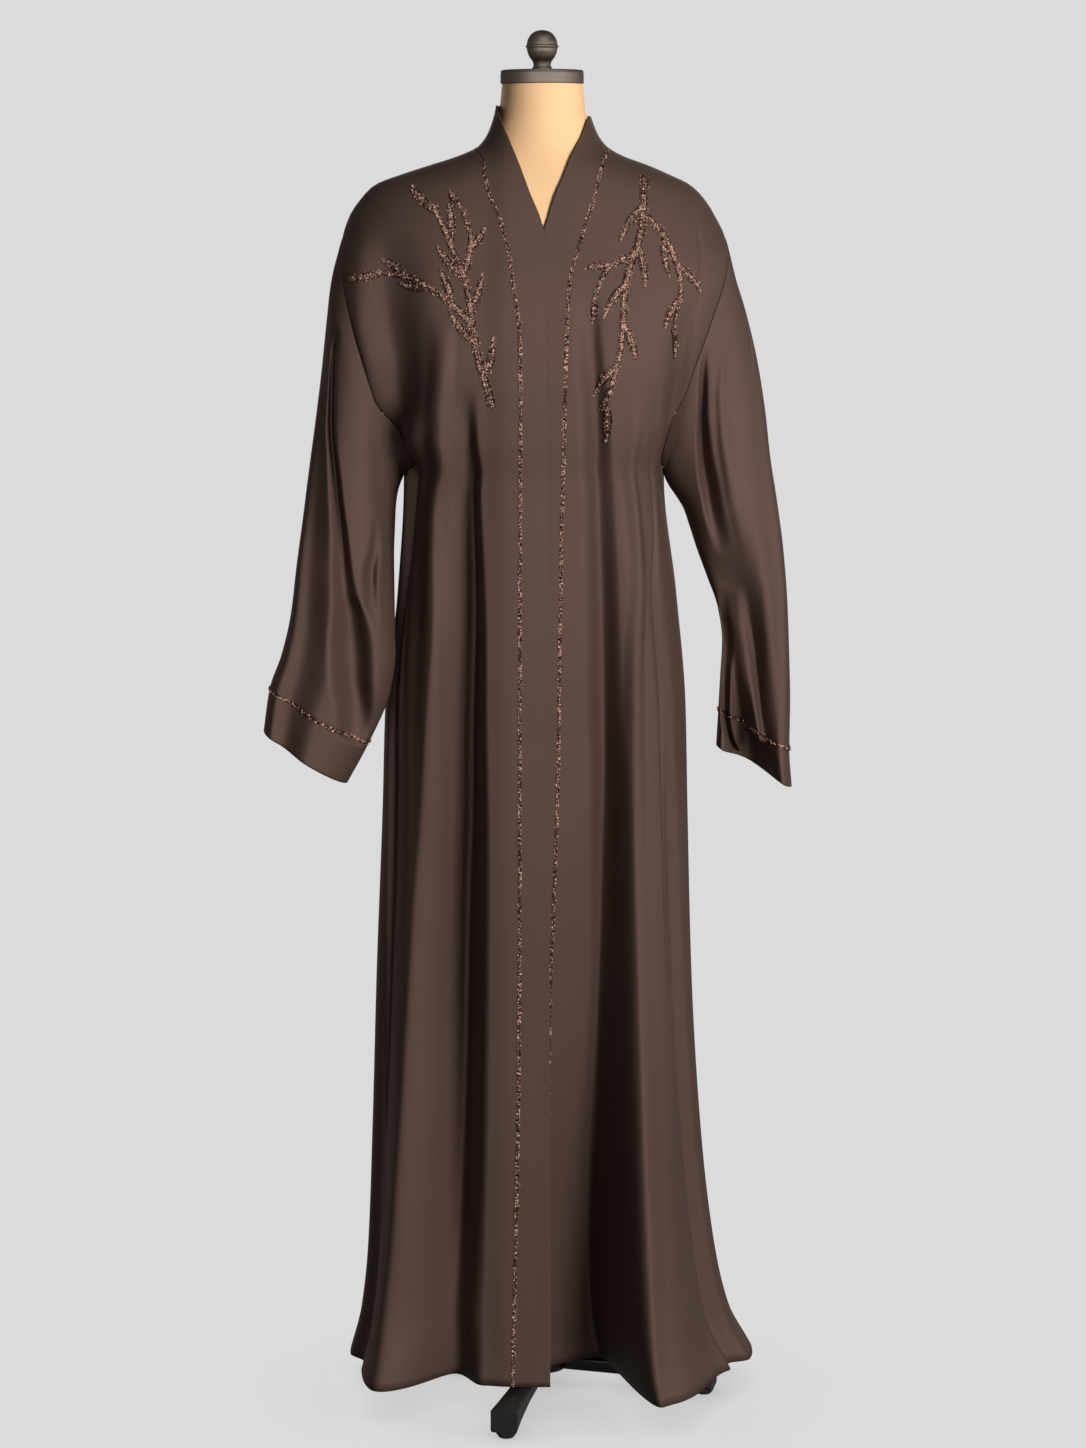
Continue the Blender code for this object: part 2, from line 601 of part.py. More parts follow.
def turned(profile, count, x=0.0, y=0.0):
    """Rings of a round part from radius and height pairs."""
    turn = np.linspace(0, 2 * np.pi, count, endpoint=False)
    return [np.stack([x + r * np.cos(turn), y + r * np.sin(turn), np.full(count, z)], 1)
            for r, z in profile]


def share_armhole_normals(own, other):
    """Common normal where two cloths run on, own normals where they face each other."""
    alike = np.clip(np.einsum("ij,ij->i", own, other), 0, 1)[:, None]
    return unit(own + alike * other)


def build_body(heights):
    """Front and back panels, with the armhole rows sharing the sleeves' normals."""
    arm = slice(SKIRT_ROWS, SKIRT_ROWS + ARM_ROWS + 1)
    turn = np.linspace(0, np.pi, ARM_ROWS + 1)
    back_shares = np.linspace(0, 1, BACK_COLUMNS + 1)
    back, back_normals = grid_of(back_row, heights, back_shares)
    back_normals = -back_normals
    panels = {}
    for side in (LEFT, RIGHT):
        shares = np.linspace(0, 1, FRONT_COLUMNS + 1)
        grid, normals = grid_of(lambda z, u, s=side: front_row(s, z, u), heights, shares)
        normals = normals * side
        ahead = sleeve_grid(side, [0.0], turn)[1][0]
        behind = sleeve_grid(side, [0.0], 2 * np.pi - turn)[1][0]
        edge = 0 if side == LEFT else -1
        panels[side] = (normals[arm, -1].copy(), back_normals[arm, edge].copy())
        normals[arm, -1] = share_armhole_normals(normals[arm, -1], ahead)
        back_normals[arm, edge] = share_armhole_normals(back_normals[arm, edge], behind)
        name = "front_panel_right" if side == LEFT else "front_panel_left"
        wall(name, grid, normals)
    wall("back_panel", back, back_normals)
    return panels


def build_sleeves(edges):
    """Two sleeves and their cuffs."""
    angle = np.linspace(0, 2 * np.pi, 2 * ARM_ROWS, endpoint=False)
    for side in (LEFT, RIGHT):
        last = len(sleeve_curves(side)[0]) - 1
        trim_line = (last - CUFF_RING_FROM_END) / last
        stations = np.linspace(0, trim_line, SLEEVE_RINGS + 1)
        grid, normals = sleeve_grid(side, stations, angle)
        front_edge, back_edge = edges[side]
        around = np.concatenate([front_edge, back_edge[-2:0:-1]])
        normals[0] = share_armhole_normals(normals[0], around)
        grid[0] += unit(grid[1] - grid[0]) * ARM_GAP
        arm = "right" if side == LEFT else "left"
        wall("sleeve_" + arm, grid, normals, closed=True)
        stations = np.linspace(trim_line, 1, CUFF_RINGS + 1)
        grid, normals = sleeve_grid(side, stations, angle)
        tangent = np.roll(grid[0], -1, axis=0) - np.roll(grid[0], 1, axis=0)
        grid[0] += unit(np.cross(tangent, normals[0])) * side * CUFF_GAP
        wall("cuff_" + arm, grid, normals, closed=True)


def build_bands(heights):
    """Neck and front band, one each side, meeting at the centre back."""
    for side in (LEFT, RIGHT):
        grid, normals = band_grid(side, heights)
        wall("front_band_right" if side == LEFT else "front_band_left", grid, normals)


def form_rings():
    """Loops of the dress form, following the cloth under neck and shoulders."""
    rows = list(FORM_LOWER)
    for row in SECTIONS:
        r = dict(zip(SECTION_COLUMNS, row))
        if r["height"] > FORM_TOP_FROM_Z:
            rows.append((r["height"] - FORM_DROP, r["left"] - FORM_CLEARANCE,
                         r["right"] - FORM_CLEARANCE, r["front"] - FORM_CLEARANCE,
                         r["back"] - FORM_CLEARANCE, r["power"]))
    levels = [row[0] for row in rows if row[0] < FORM_TOP_Z - 0.004] + [FORM_TOP_Z]
    heights = column(rows, SECTION_COLUMNS, "height")
    turn = np.linspace(0, 2 * np.pi, FORM_COLUMNS, endpoint=False)
    s, c = np.sin(turn), np.cos(turn)
    rings = []
    for z in levels:
        left, right, front, back, power = (
            float(smooth(z, heights, column(rows, SECTION_COLUMNS, n)))
            for n in SECTION_COLUMNS[1:])
        x = np.where(s > 0, right, left) * np.sign(s) * np.abs(s) ** (2 / power)
        y = np.where(c > 0, -front, back) * np.abs(c) ** (2 / power)
        rings.append(np.stack([x, y, np.full(len(turn), z)], 1))
    return rings


def leg_rings(angle):
    """Chamfered box sections of one leg, from the hub out to the foot."""
    out = np.array([math.cos(angle), math.sin(angle), 0])
    side = np.array([-math.sin(angle), math.cos(angle), 0])
    up = np.array([0, 0, 1])
    rings = []
    for row in LEG:
        r = dict(zip(LEG_COLUMNS, row))
        w, low, high, k = r["half_width"], r["low"], r["high"], LEG_CHAMFER
        outline = ((w, low + k), (w, high - k), (w - k, high), (k - w, high),
                   (-w, high - k), (-w, low + k), (k - w, low), (w - k, low))
        rings.append([out * r["reach"] + side * a + up * b for a, b in outline])
    return rings


def build_stand():
    """Dress form, cap, knob, pole, hub, legs and pads."""
    stack("form_body", form_rings(), CREAM, 0.6)
    cap = [(CAP_RADIUS, CAP_BASE_Z), (CAP_RADIUS, CAP_TOP_Z - CAP_EDGE),
           (CAP_RADIUS - CAP_EDGE * 0.3, CAP_TOP_Z - CAP_EDGE * 0.3),
           (CAP_RADIUS - CAP_EDGE, CAP_TOP_Z)]
    stack("neck_cap", turned(cap, 40, KNOB_X), NICKEL, 0.35, 1.0)
    knob = list(KNOB_PROFILE) + [(0.0020, KNOB_TOP_Z)]
    stack("neck_knob", turned(knob, 20, KNOB_X), NICKEL, 0.3, 1.0)
    top = FORM_LOWER[0][0] - PART_GAP
    stack("stand_pole", turned([(POLE_RADIUS, HUB_TOP_Z + PART_GAP), (POLE_RADIUS, top)], 20),
          BLACK, 0.4)
    stack("stand_hub", turned([(HUB_RADIUS, HUB_BASE_Z), (HUB_RADIUS, HUB_TOP_Z - 0.004),
                               (HUB_RADIUS - 0.004, HUB_TOP_Z)], 24), BLACK, 0.4)
    for k in range(LEG_COUNT):
        angle = LEG_FIRST_ANGLE + 2 * math.pi * k / LEG_COUNT
        stack(f"stand_leg_{k + 1}", leg_rings(angle), BLACK, 0.35, rounded=False)
        pad = turned([(PAD_FOOT_RADIUS, 0.0), (PAD_TOP_RADIUS, 0.0050),
                      (PAD_TOP_RADIUS, PAD_TOP_Z)], 16,
                     PAD_REACH * math.cos(angle), PAD_REACH * math.sin(angle))
        stack(f"stand_pad_{k + 1}", pad, BLACK, 0.8)


def main():
    """Clear the scene and build every piece."""
    for old in list(bpy.data.objects):
        bpy.data.objects.remove(old, do_unlink=True)
    heights = body_heights()
    edges = build_body(heights)
    build_sleeves(edges)
    build_bands(heights)
    build_stand()


main()
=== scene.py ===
"""Open-front satin cloak on a limbless dress form: fine shape, finishes and studio.

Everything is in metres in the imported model's frame: +Z up, -Y to the front. The cloth
surfaces are worked out as whole numpy arrays from short tables of body loops, folds,
sleeve rings and creases, and each cloth is a thin shell on the form of its solid.
"""
import math

import bpy
import numpy as np
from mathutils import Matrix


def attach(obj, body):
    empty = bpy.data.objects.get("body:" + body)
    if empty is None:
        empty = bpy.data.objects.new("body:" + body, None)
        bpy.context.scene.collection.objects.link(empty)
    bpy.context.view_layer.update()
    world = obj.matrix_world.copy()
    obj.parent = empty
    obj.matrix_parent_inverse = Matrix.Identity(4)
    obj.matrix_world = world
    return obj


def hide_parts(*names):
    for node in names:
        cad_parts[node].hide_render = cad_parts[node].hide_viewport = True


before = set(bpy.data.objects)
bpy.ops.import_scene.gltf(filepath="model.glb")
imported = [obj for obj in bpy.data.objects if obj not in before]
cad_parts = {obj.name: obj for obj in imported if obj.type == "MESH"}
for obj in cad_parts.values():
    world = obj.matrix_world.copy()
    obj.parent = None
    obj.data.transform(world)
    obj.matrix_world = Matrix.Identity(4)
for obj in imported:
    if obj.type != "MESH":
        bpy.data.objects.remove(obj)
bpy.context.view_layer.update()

bl_info = {
    "name": "Open-Front Cloak on a Dress Form",
    "version": (1, 0, 0),
    "blender": (4, 5, 0),
    "location": "View3D > Sidebar > Cloak",
    "description": "Builds the cloak's cloth, trims, dress form, stand and studio",
    "category": "Object",
}

# ---------------------------------------------------------------- sizes and tables

# The halves, by the viewer's side
LEFT = -1
RIGHT = 1

# The pole stands this far from the middle of the frame
POLE_X = 0.0157

# Heights of the garment
HEM_Z = 0.040
TABLE_TOP_Z = 1.535
UNDERARM_Z = 1.085
SHOULDER_TIP_Z = 1.355
NECK_SEAM_Z = 1.458
FRONT_TOP_Z = 1.4545
NECK_EDGE_LEFT_Z = 1.504
NECK_EDGE_RIGHT_Z = 1.4915
NECK_EDGE_BACK_Z = 1.500
ARM_OPEN = 0.52
ARM_MIDDLE_Z = (UNDERARM_Z + SHOULDER_TIP_Z) / 2
ARM_REACH = (SHOULDER_TIP_Z - UNDERARM_Z) / 2
# The body widens for the armhole over this share of its height above the underarm
ARM_EASE = 0.2

# The upper front lies this far over the lower one, and comes down to it at its side
OVERLAP_LIFT = 0.0024
OVERLAP_FULL_X = 0.040
OVERLAP_FADE_X = 0.066
SEAM_GAP = 0.0002

# The two halves: the viewer's side, and the wearer's side in the pieces' names
SIDES = ((LEFT, "right"), (RIGHT, "left"))

# Body loops: half widths to the viewer's left and right, depths to front and back
SECTION_COLUMNS = ("height", "left", "right", "front", "back", "power")
SECTIONS = (
    (0.040, 0.2300, 0.2500, 0.1350, 0.1550, 2.40),
    (0.090, 0.2170, 0.2230, 0.1320, 0.1500, 2.40),
    (0.170, 0.2080, 0.2040, 0.1290, 0.1430, 2.38),
    (0.320, 0.2015, 0.1860, 0.1250, 0.1350, 2.35),
    (0.500, 0.1955, 0.1745, 0.1220, 0.1280, 2.32),
    (0.700, 0.1870, 0.1685, 0.1200, 0.1220, 2.30),
    (0.820, 0.1830, 0.1655, 0.1190, 0.1180, 2.30),
    (0.950, 0.1680, 0.1540, 0.1190, 0.1130, 2.30),
    (1.085, 0.1600, 0.1390, 0.1210, 0.1080, 2.30),
    (1.130, 0.1790, 0.1480, 0.1250, 0.1090, 2.30),
    (1.200, 0.1990, 0.1680, 0.1270, 0.1120, 2.30),
    (1.262, 0.2170, 0.1900, 0.1200, 0.1150, 2.28),
    (1.315, 0.2280, 0.2070, 0.1090, 0.1130, 2.24),
    (1.340, 0.2310, 0.2105, 0.1020, 0.1090, 2.20),
    (1.355, 0.2285, 0.2075, 0.0980, 0.1060, 2.18),
    (1.381, 0.2196, 0.1950, 0.0900, 0.0990, 2.14),
    (1.398, 0.2080, 0.1842, 0.0840, 0.0940, 2.10),
    (1.415, 0.1909, 0.1671, 0.0770, 0.0870, 2.06),
    (1.426, 0.1625, 0.1443, 0.0720, 0.0820, 2.04),
    (1.437, 0.1283, 0.1190, 0.0665, 0.0765, 2.02),
    (1.448, 0.0942, 0.0890, 0.0615, 0.0710, 2.00),
    (1.458, 0.0735, 0.0725, 0.0575, 0.0665, 2.00),
    (1.475, 0.0615, 0.0605, 0.0535, 0.0600, 2.00),
    (1.504, 0.0527, 0.0517, 0.0500, 0.0535, 2.00),
    (1.535, 0.0497, 0.0487, 0.0485, 0.0495, 2.00),
)

# Large folds: place is the share of the half width; a positive depth is a valley
FOLD_COLUMNS = ("side", "face", "place_top", "place_hem", "start", "depth",
                "inner", "outer", "growth")
FOLDS = (
    (LEFT, "front", 0.455, 0.385, 1.240, 0.090, 0.042, 0.062, 1.35),
    (LEFT, "front", 0.620, 0.640, 0.900, -0.066, 0.070, 0.095, 1.90),
    (LEFT, "front", 0.930, 0.965, 0.800, 0.010, 0.030, 0.030, 1.30),
    (LEFT, "back", 0.800, 0.740, 1.000, 0.058, 0.060, 0.048, 1.40),
    (LEFT, "back", 0.300, 0.330, 1.150, 0.072, 0.052, 0.070, 1.30),
    (RIGHT, "front", 0.560, 0.345, 1.200, 0.100, 0.215, 0.034, 1.55),
    (RIGHT, "front", 0.640, 0.470, 0.950, -0.078, 0.042, 0.110, 1.90),
    (RIGHT, "front", 0.800, 0.930, 1.150, 0.016, 0.022, 0.028, 1.20),
    (RIGHT, "back", 0.850, 0.800, 0.950, 0.050, 0.062, 0.062, 1.40),
    (RIGHT, "back", 0.420, 0.400, 1.100, 0.080, 0.070, 0.050, 1.30),
)

# Front bands: the seam by height, and the free edge paired with it
BAND_TABLE_COLUMNS = ("seam_z", "seam_x", "edge_x", "edge_z")
BAND_RIGHT_OF_WEARER = (
    (0.040, -0.0350, 0.0085, 0.040),
    (0.170, -0.0320, 0.0085, 0.170),
    (0.500, -0.0268, 0.0075, 0.500),
    (0.950, -0.0258, 0.0065, 0.950),
    (1.180, -0.0248, 0.0050, 1.180),
    (1.243, -0.0257, 0.0047, 1.245),
    (1.275, -0.0283, 0.0045, 1.280),
    (1.297, -0.0322, 0.0042, 1.308),
    (1.335, -0.0372, 0.0025, 1.356),
    (1.358, -0.0425, -0.0030, 1.379),
    (1.383, -0.0500, -0.0147, 1.407),
    (1.400, -0.0583, -0.0265, 1.439),
    (1.424, -0.0650, -0.0370, 1.4655),
    (1.441, -0.0672, -0.0450, 1.484),
    (1.456, -0.0760, -0.0527, 1.5035),
)
BAND_LEFT_OF_WEARER = (
    (0.040, -0.0010, -0.0340, 0.040),
    (0.500, 0.0092, -0.0240, 0.500),
    (0.750, 0.0176, -0.0165, 0.750),
    (0.950, 0.0200, -0.0140, 0.950),
    (1.180, 0.0247, -0.0105, 1.180),
    (1.285, 0.0280, -0.0090, 1.290),
    (1.310, 0.0302, -0.0075, 1.321),
    (1.335, 0.0365, -0.0030, 1.352),
    (1.358, 0.0432, 0.0045, 1.377),
    (1.383, 0.0515, 0.0125, 1.402),
    (1.400, 0.0566, 0.0225, 1.425),
    (1.424, 0.0630, 0.0320, 1.4485),
    (1.441, 0.0680, 0.0430, 1.4690),
    (1.456, 0.0750, 0.0519, 1.4910),
)

# Height at which each band's sequin trim starts
TRIM_FIRST = {LEFT: 1.441, RIGHT: 1.452}

# Rows and columns of the cloth surfaces, and each piece's share in the random draws
FRONT_ROWS = (104, 40, 20)
FRONT_COLUMNS = 196
FRONT_WIDTH = 0.3
BACK_ROWS = (96, 36, 20)
BACK_COLUMNS = 200
BACK_WIDTH = 0.6
SLEEVE_TURN_COLUMNS = 190
SLEEVE_FIRST_ROWS = (0.0, 0.003, 0.008)
BAND_NECK_ROWS = 30
BAND_FRONT_ROWS = (150, 44, 30)
BAND_WIDTH = 0.035
DENSE_COLUMNS = 1000
SPRAY_SEED = 31
CUFF_TRIM_SEED = 51
BAND_TRIM_SEED = 71

# Sleeve rings: outer and inner ends seen from the front, and depth across
RING_COLUMNS = ("outer_x", "outer_z", "inner_x", "inner_z", "mid_y", "front", "back")
RINGS_RIGHT_ARM = (
    (-0.2285, 1.3550, -0.1600, 1.0850, 0.000, 0.062, 0.058),
    (-0.2395, 1.3130, -0.1630, 1.0780, -0.002, 0.061, 0.057),
    (-0.2465, 1.2630, -0.1665, 1.0670, -0.005, 0.059, 0.055),
    (-0.2530, 1.2050, -0.1690, 1.0500, -0.009, 0.057, 0.053),
    (-0.2600, 1.1500, -0.1700, 1.0270, -0.014, 0.055, 0.051),
    (-0.2675, 1.0950, -0.1710, 0.9950, -0.021, 0.053, 0.049),
    (-0.2745, 1.0400, -0.1705, 0.9600, -0.029, 0.051, 0.047),
    (-0.2815, 0.9850, -0.1695, 0.9250, -0.045, 0.048, 0.041),
    (-0.2880, 0.9300, -0.1685, 0.8850, -0.055, 0.048, 0.037),
    (-0.2985, 0.8850, -0.1745, 0.8420, -0.062, 0.049, 0.037),
    (-0.3120, 0.8470, -0.1990, 0.7840, -0.065, 0.050, 0.039),
    (-0.3195, 0.7980, -0.2240, 0.7380, -0.067, 0.052, 0.041),
)
RINGS_LEFT_ARM = (
    (0.2075, 1.3550, 0.1390, 1.0850, 0.000, 0.062, 0.058),
    (0.2180, 1.3150, 0.1415, 1.0790, -0.001, 0.061, 0.057),
    (0.2315, 1.2720, 0.1460, 1.0710, -0.002, 0.059, 0.055),
    (0.2450, 1.2170, 0.1530, 1.0610, -0.003, 0.057, 0.053),
    (0.2545, 1.1600, 0.1615, 1.0470, -0.005, 0.055, 0.051),
    (0.2610, 1.1050, 0.1685, 1.0270, -0.008, 0.053, 0.050),
    (0.2690, 1.0550, 0.1770, 1.0010, -0.011, 0.051, 0.049),
    (0.2765, 1.0000, 0.1885, 0.9700, -0.014, 0.050, 0.048),
    (0.2815, 0.9400, 0.2015, 0.9330, -0.017, 0.050, 0.048),
    (0.2840, 0.8800, 0.2065, 0.8950, -0.020, 0.050, 0.047),
    (0.2855, 0.8250, 0.2045, 0.8550, -0.022, 0.051, 0.046),
    (0.2850, 0.7710, 0.2025, 0.8160, -0.024, 0.052, 0.046),
    (0.2880, 0.7270, 0.2003, 0.7750, -0.026, 0.053, 0.046),
)
CUFF_RING_FROM_END = 1
# Shares of the sleeve over which the armhole's shape and the body's creases fade
ARM_BLEND = 0.45
CREASE_BLEND = 0.06
# Sleeve turns start at the back, and creases die out at the edges seen from the front
TURN_START = math.radians(-100)
EDGE_SOFTNESS = 0.06

# Sleeve folds: angles in degrees from the inner end, 90 at the front
SLEEVE_FOLD_COLUMNS = ("side", "angle_top", "angle_end", "start", "depth",
                       "toward_inner", "toward_outer", "growth")
SLEEVE_FOLDS = (
    (LEFT, 150.0, 118.0, 0.10, 0.016, 34.0, 30.0, 0.8),
    (LEFT, 245.0, 250.0, 0.15, 0.014, 36.0, 36.0, 0.8),
    (RIGHT, 60.0, 84.0, 0.45, 0.076, 64.0, 54.0, 1.1),
    (RIGHT, 150.0, 118.0, 0.05, 0.008, 26.0, 26.0, 0.6),
    (RIGHT, 250.0, 240.0, 0.20, 0.010, 40.0, 36.0, 0.8),
)

def even(inner, outer, rows):
    """Crease rows whose two reaches stay the same from end to end."""
    return tuple((*row, inner, outer) for row in rows)


# Creases of the body, each a line of points: height, loop angle in degrees (0 at the
# centre front, 180 at the centre back), depth, and reaches toward the centre and toward
# the side; a positive depth is a trough and a negative one a ridge
CREASES = (
    (LEFT, (
        (1.278, 22.9, 0, 0.016, 0.024), (1.221, 24.9, -0.006, 0.013, 0.024),
        (1.156, 30.6, -0.008, 0.012, 0.026), (1.041, 45, -0.008, 0.012, 0.028),
        (0.838, 40.1, -0.006, 0.011, 0.03), (0.609, 38.3, 0, 0.011, 0.03),
    )),
    (LEFT, (
        (1.369, 50.7, 0, 0.05, 0.03), (1.32, 45.3, 0.01, 0.06, 0.04), (1.243, 45, 0.018, 0.064, 0.042),
        (1.177, 52.2, 0.021, 0.062, 0.034), (1.116, 75.7, 0.02, 0.056, 0.02),
        (1.053, 80.1, 0.016, 0.048, 0.01), (0.943, 80.6, 0.011, 0.044, 0.008),
        (0.828, 73.6, 0.009, 0.042, 0.008), (0.597, 68.5, 0.006, 0.04, 0.008),
        (0.361, 65.6, 0.003, 0.036, 0.008), (0.138, 48.4, 0, 0.03, 0.008),
    )),
    (RIGHT, (
        (1.306, 11.5, 0, 0.022, 0.012), (1.245, 12.8, 0.008, 0.024, 0.014),
        (1.156, 18.8, 0.014, 0.026, 0.015), (1.065, 26.5, 0.016, 0.028, 0.016),
        (0.952, 25.7, 0.018, 0.03, 0.016), (0.838, 24.9, 0.018, 0.03, 0.017),
        (0.721, 26.7, 0.018, 0.03, 0.017), (0.606, 26.7, 0.016, 0.028, 0.017),
        (0.372, 24.2, 0.008, 0.026, 0.018), (0.131, 20, 0, 0.022, 0.018),
    )),
    (RIGHT, (
        (1.177, 31.9, 0, 0.012, 0.014), (1.133, 37.3, -0.004, 0.012, 0.014),
        (1.041, 43.5, -0.007, 0.012, 0.015), (0.838, 35.5, -0.006, 0.012, 0.016),
        (0.611, 32.9, -0.003, 0.016, 0.02), (0.377, 27, -0.009, 0.022, 0.034),
        (0.141, 21.8, -0.014, 0.022, 0.036), (0.04, 19, -0.014, 0.022, 0.036),
    )),
    (RIGHT, even(0.006, 0.006, (
        (1.193, 37.8, 0), (1.154, 45, 0.0025), (1.062, 62.8, 0.003), (0.95, 54.3, 0.0035),
        (0.833, 53.3, 0.003), (0.695, 52, 0.0025), (0.597, 51, 0.002), (0.358, 52.5, 0.0015),
        (0.166, 71, 0.001), (0.089, 74.4, 0),
    ))),
    (RIGHT, (
        (1.296, 47.3, 0, 0.034, 0.012), (1.25, 49.9, 0.008, 0.038, 0.012), (1.186, 58.2, 0.012, 0.04, 0.012),
        (1.135, 69, 0.008, 0.036, 0.01), (1.088, 79, 0.003, 0.028, 0.01), (1.034, 80.1, 0, 0.024, 0.01),
    )),
    (RIGHT, even(0.006, 0.006, (
        (1.381, 62.5, 0), (1.348, 55.6, 0.0025), (1.303, 52.5, 0.0025), (1.254, 53.3, 0),
    ))),
    (LEFT, (
        (1.24, 23.95, 0, 0.0252, 0.0372), (1.15, 23.51, -0.0027, 0.0265, 0.0391),
        (1.065, 23.2, -0.0067, 0.0277, 0.0408), (0.952, 22.78, -0.0131, 0.0292, 0.0432),
        (0.838, 22.36, -0.0206, 0.0308, 0.0455), (0.72, 21.93, -0.0291, 0.0325, 0.0479),
        (0.606, 21.45, -0.038, 0.0341, 0.0503), (0.49, 20.89, -0.0477, 0.0357, 0.0527),
        (0.37, 20.27, -0.0583, 0.0374, 0.0552), (0.25, 19.63, -0.0694, 0.0391, 0.0577),
        (0.136, 18.97, -0.0804, 0.0407, 0.06), (0.04, 18.55, -0.09, 0.042, 0.062),
    )),
    (LEFT, (
        (1.191, 19.8, 0, 0.014, 0.018), (1.144, 22.8, 0.009, 0.015, 0.02), (1.065, 29.7, 0.022, 0.02, 0.026),
        (0.952, 28.4, 0.034, 0.026, 0.034), (0.838, 26.8, 0.04, 0.03, 0.042),
        (0.72, 27.4, 0.048, 0.036, 0.048), (0.606, 29, 0.057, 0.044, 0.05),
        (0.37, 29.5, 0.067, 0.049, 0.054), (0.136, 30.3, 0.07, 0.052, 0.056),
        (0.04, 27.6, 0.07, 0.053, 0.057),
    )),
    (LEFT, even(0.018, 0.014, (
        (0.04, 135.8, 0.0101), (0.25, 134.3, 0.013), (0.5, 132.5, 0.013), (0.66, 131.4, 0.0087),
        (0.78, 130.7, 0.0029), (0.95, 129.6, 0.0029), (1.08, 129.3, 0),
    ))),
    (LEFT, even(0.018, 0.014, (
        (0.04, 164.7, 0.0126), (0.25, 164.7, 0.0162), (0.5, 164.7, 0.0162), (0.66, 164.8, 0.0108),
        (0.78, 164.9, 0.0036), (0.95, 165.2, 0.0036), (1.23, 165.4, 0),
    ))),
    (RIGHT, even(0.014, 0.018, (
        (0.04, 130.1, 0.0088), (0.25, 128.6, 0.0112), (0.5, 126.8, 0.0112), (0.66, 125.7, 0.0075),
        (0.78, 125, 0.0025), (0.95, 123.9, 0.0025), (1.03, 123.9, 0),
    ))),
    (RIGHT, even(0.014, 0.018, (
        (0.04, 160.5, 0.014), (0.25, 160, 0.018), (0.5, 159.3, 0.018), (0.66, 158.9, 0.012),
        (0.78, 158.7, 0.004), (0.95, 158.5, 0.004), (1.18, 158.4, 0),
    ))),
)

# Creases of the sleeves: station (0 at the armhole, 1 at the hem), angle, depth, and
# reaches toward the inner and the outer end
SLEEVE_CREASES = (
    (LEFT, (
        (0.085, 118, 0, 0.011, 0.018), (0.188, 125.5, 0.008, 0.012, 0.018),
        (0.311, 124.5, 0.013, 0.013, 0.018), (0.414, 111.5, 0.015, 0.013, 0.019),
        (0.521, 97.5, 0.015, 0.014, 0.02), (0.614, 91, 0.018, 0.022, 0.02),
        (0.667, 84.5, 0.026, 0.032, 0.024), (0.744, 80, 0.034, 0.036, 0.03), (0.827, 70, 0.034, 0.036, 0.03),
        (0.88, 54, 0.024, 0.036, 0.028), (0.915, 46.5, 0.014, 0.03, 0.024),
    )),
    (LEFT, (
        (0.396, 52.5, 0, 0.014, 0.008), (0.476, 54.5, 0.006, 0.014, 0.01), (0.551, 59, 0.012, 0.014, 0.013),
        (0.614, 57.5, 0.008, 0.014, 0.014), (0.672, 54, 0, 0.014, 0.014),
    )),
    (RIGHT, (
        (0.015, 94.5, 0, 0.012, 0.018), (0.095, 87, 0.012, 0.014, 0.019), (0.206, 73, 0.017, 0.015, 0.02),
        (0.316, 64, 0.016, 0.015, 0.02), (0.441, 61.5, 0.01, 0.014, 0.018), (0.541, 62, 0, 0.012, 0.016),
    )),
    (RIGHT, (
        (0.1, 112.5, 0, 0.012, 0.016), (0.193, 98, -0.004, 0.013, 0.018),
        (0.323, 90.5, -0.005, 0.013, 0.018), (0.476, 91.5, -0.003, 0.012, 0.018),
        (0.569, 92.5, 0, 0.012, 0.016),
    )),
    (RIGHT, even(0.006, 0.007, (
        (0.125, 154, 0), (0.158, 152, 0.0025), (0.195, 150.5, 0.0025), (0.263, 132.5, 0),
    ))),
    (RIGHT, (
        (0.619, 39.5, 0, 0.01, 0.01), (0.694, 21, 0.01, 0.01, 0.012), (0.789, 21.5, 0.018, 0.012, 0.014),
        (0.882, 29.5, 0.024, 0.013, 0.015), (0.97, 50.5, 0.024, 0.014, 0.016),
        (0.995, 63, 0.022, 0.014, 0.016),
    )),
    (RIGHT, (
        (0.614, 68.5, 0, 0.014, 0.014), (0.692, 63.5, -0.01, 0.016, 0.016),
        (0.777, 71.5, -0.018, 0.02, 0.018), (0.86, 84.5, -0.025, 0.024, 0.02),
        (0.932, 97.5, -0.026, 0.026, 0.02),
    )),
)

# Dress form: loops under the shoulders keep a clearance from the cloth
FORM_CLEARANCE = 0.0036
FORM_DROP = 0.0030
FORM_TOP_Z = 1.5276
FORM_TOP_FROM_Z = 1.397
FORM_LOWER = (
    (0.7800, 0.1300, 0.1300, 0.0700, 0.0840, 2.20),
    (0.7900, 0.1390, 0.1390, 0.0760, 0.0920, 2.20),
    (0.8400, 0.1430, 0.1410, 0.0790, 0.0970, 2.20),
    (0.9200, 0.1340, 0.1300, 0.0800, 0.0900, 2.20),
    (1.0000, 0.1210, 0.1190, 0.0850, 0.0830, 2.20),
    (1.0850, 0.1330, 0.1260, 0.0990, 0.0900, 2.20),
    (1.1500, 0.1500, 0.1390, 0.1090, 0.0960, 2.20),
    (1.2000, 0.1650, 0.1520, 0.1120, 0.0990, 2.20),
    (1.2620, 0.1850, 0.1700, 0.1090, 0.1040, 2.20),
    (1.3150, 0.1970, 0.1840, 0.1010, 0.1040, 2.18),
    (1.3550, 0.2030, 0.1900, 0.0930, 0.1000, 2.16),
    (1.3820, 0.2020, 0.1850, 0.0865, 0.0950, 2.14),
)

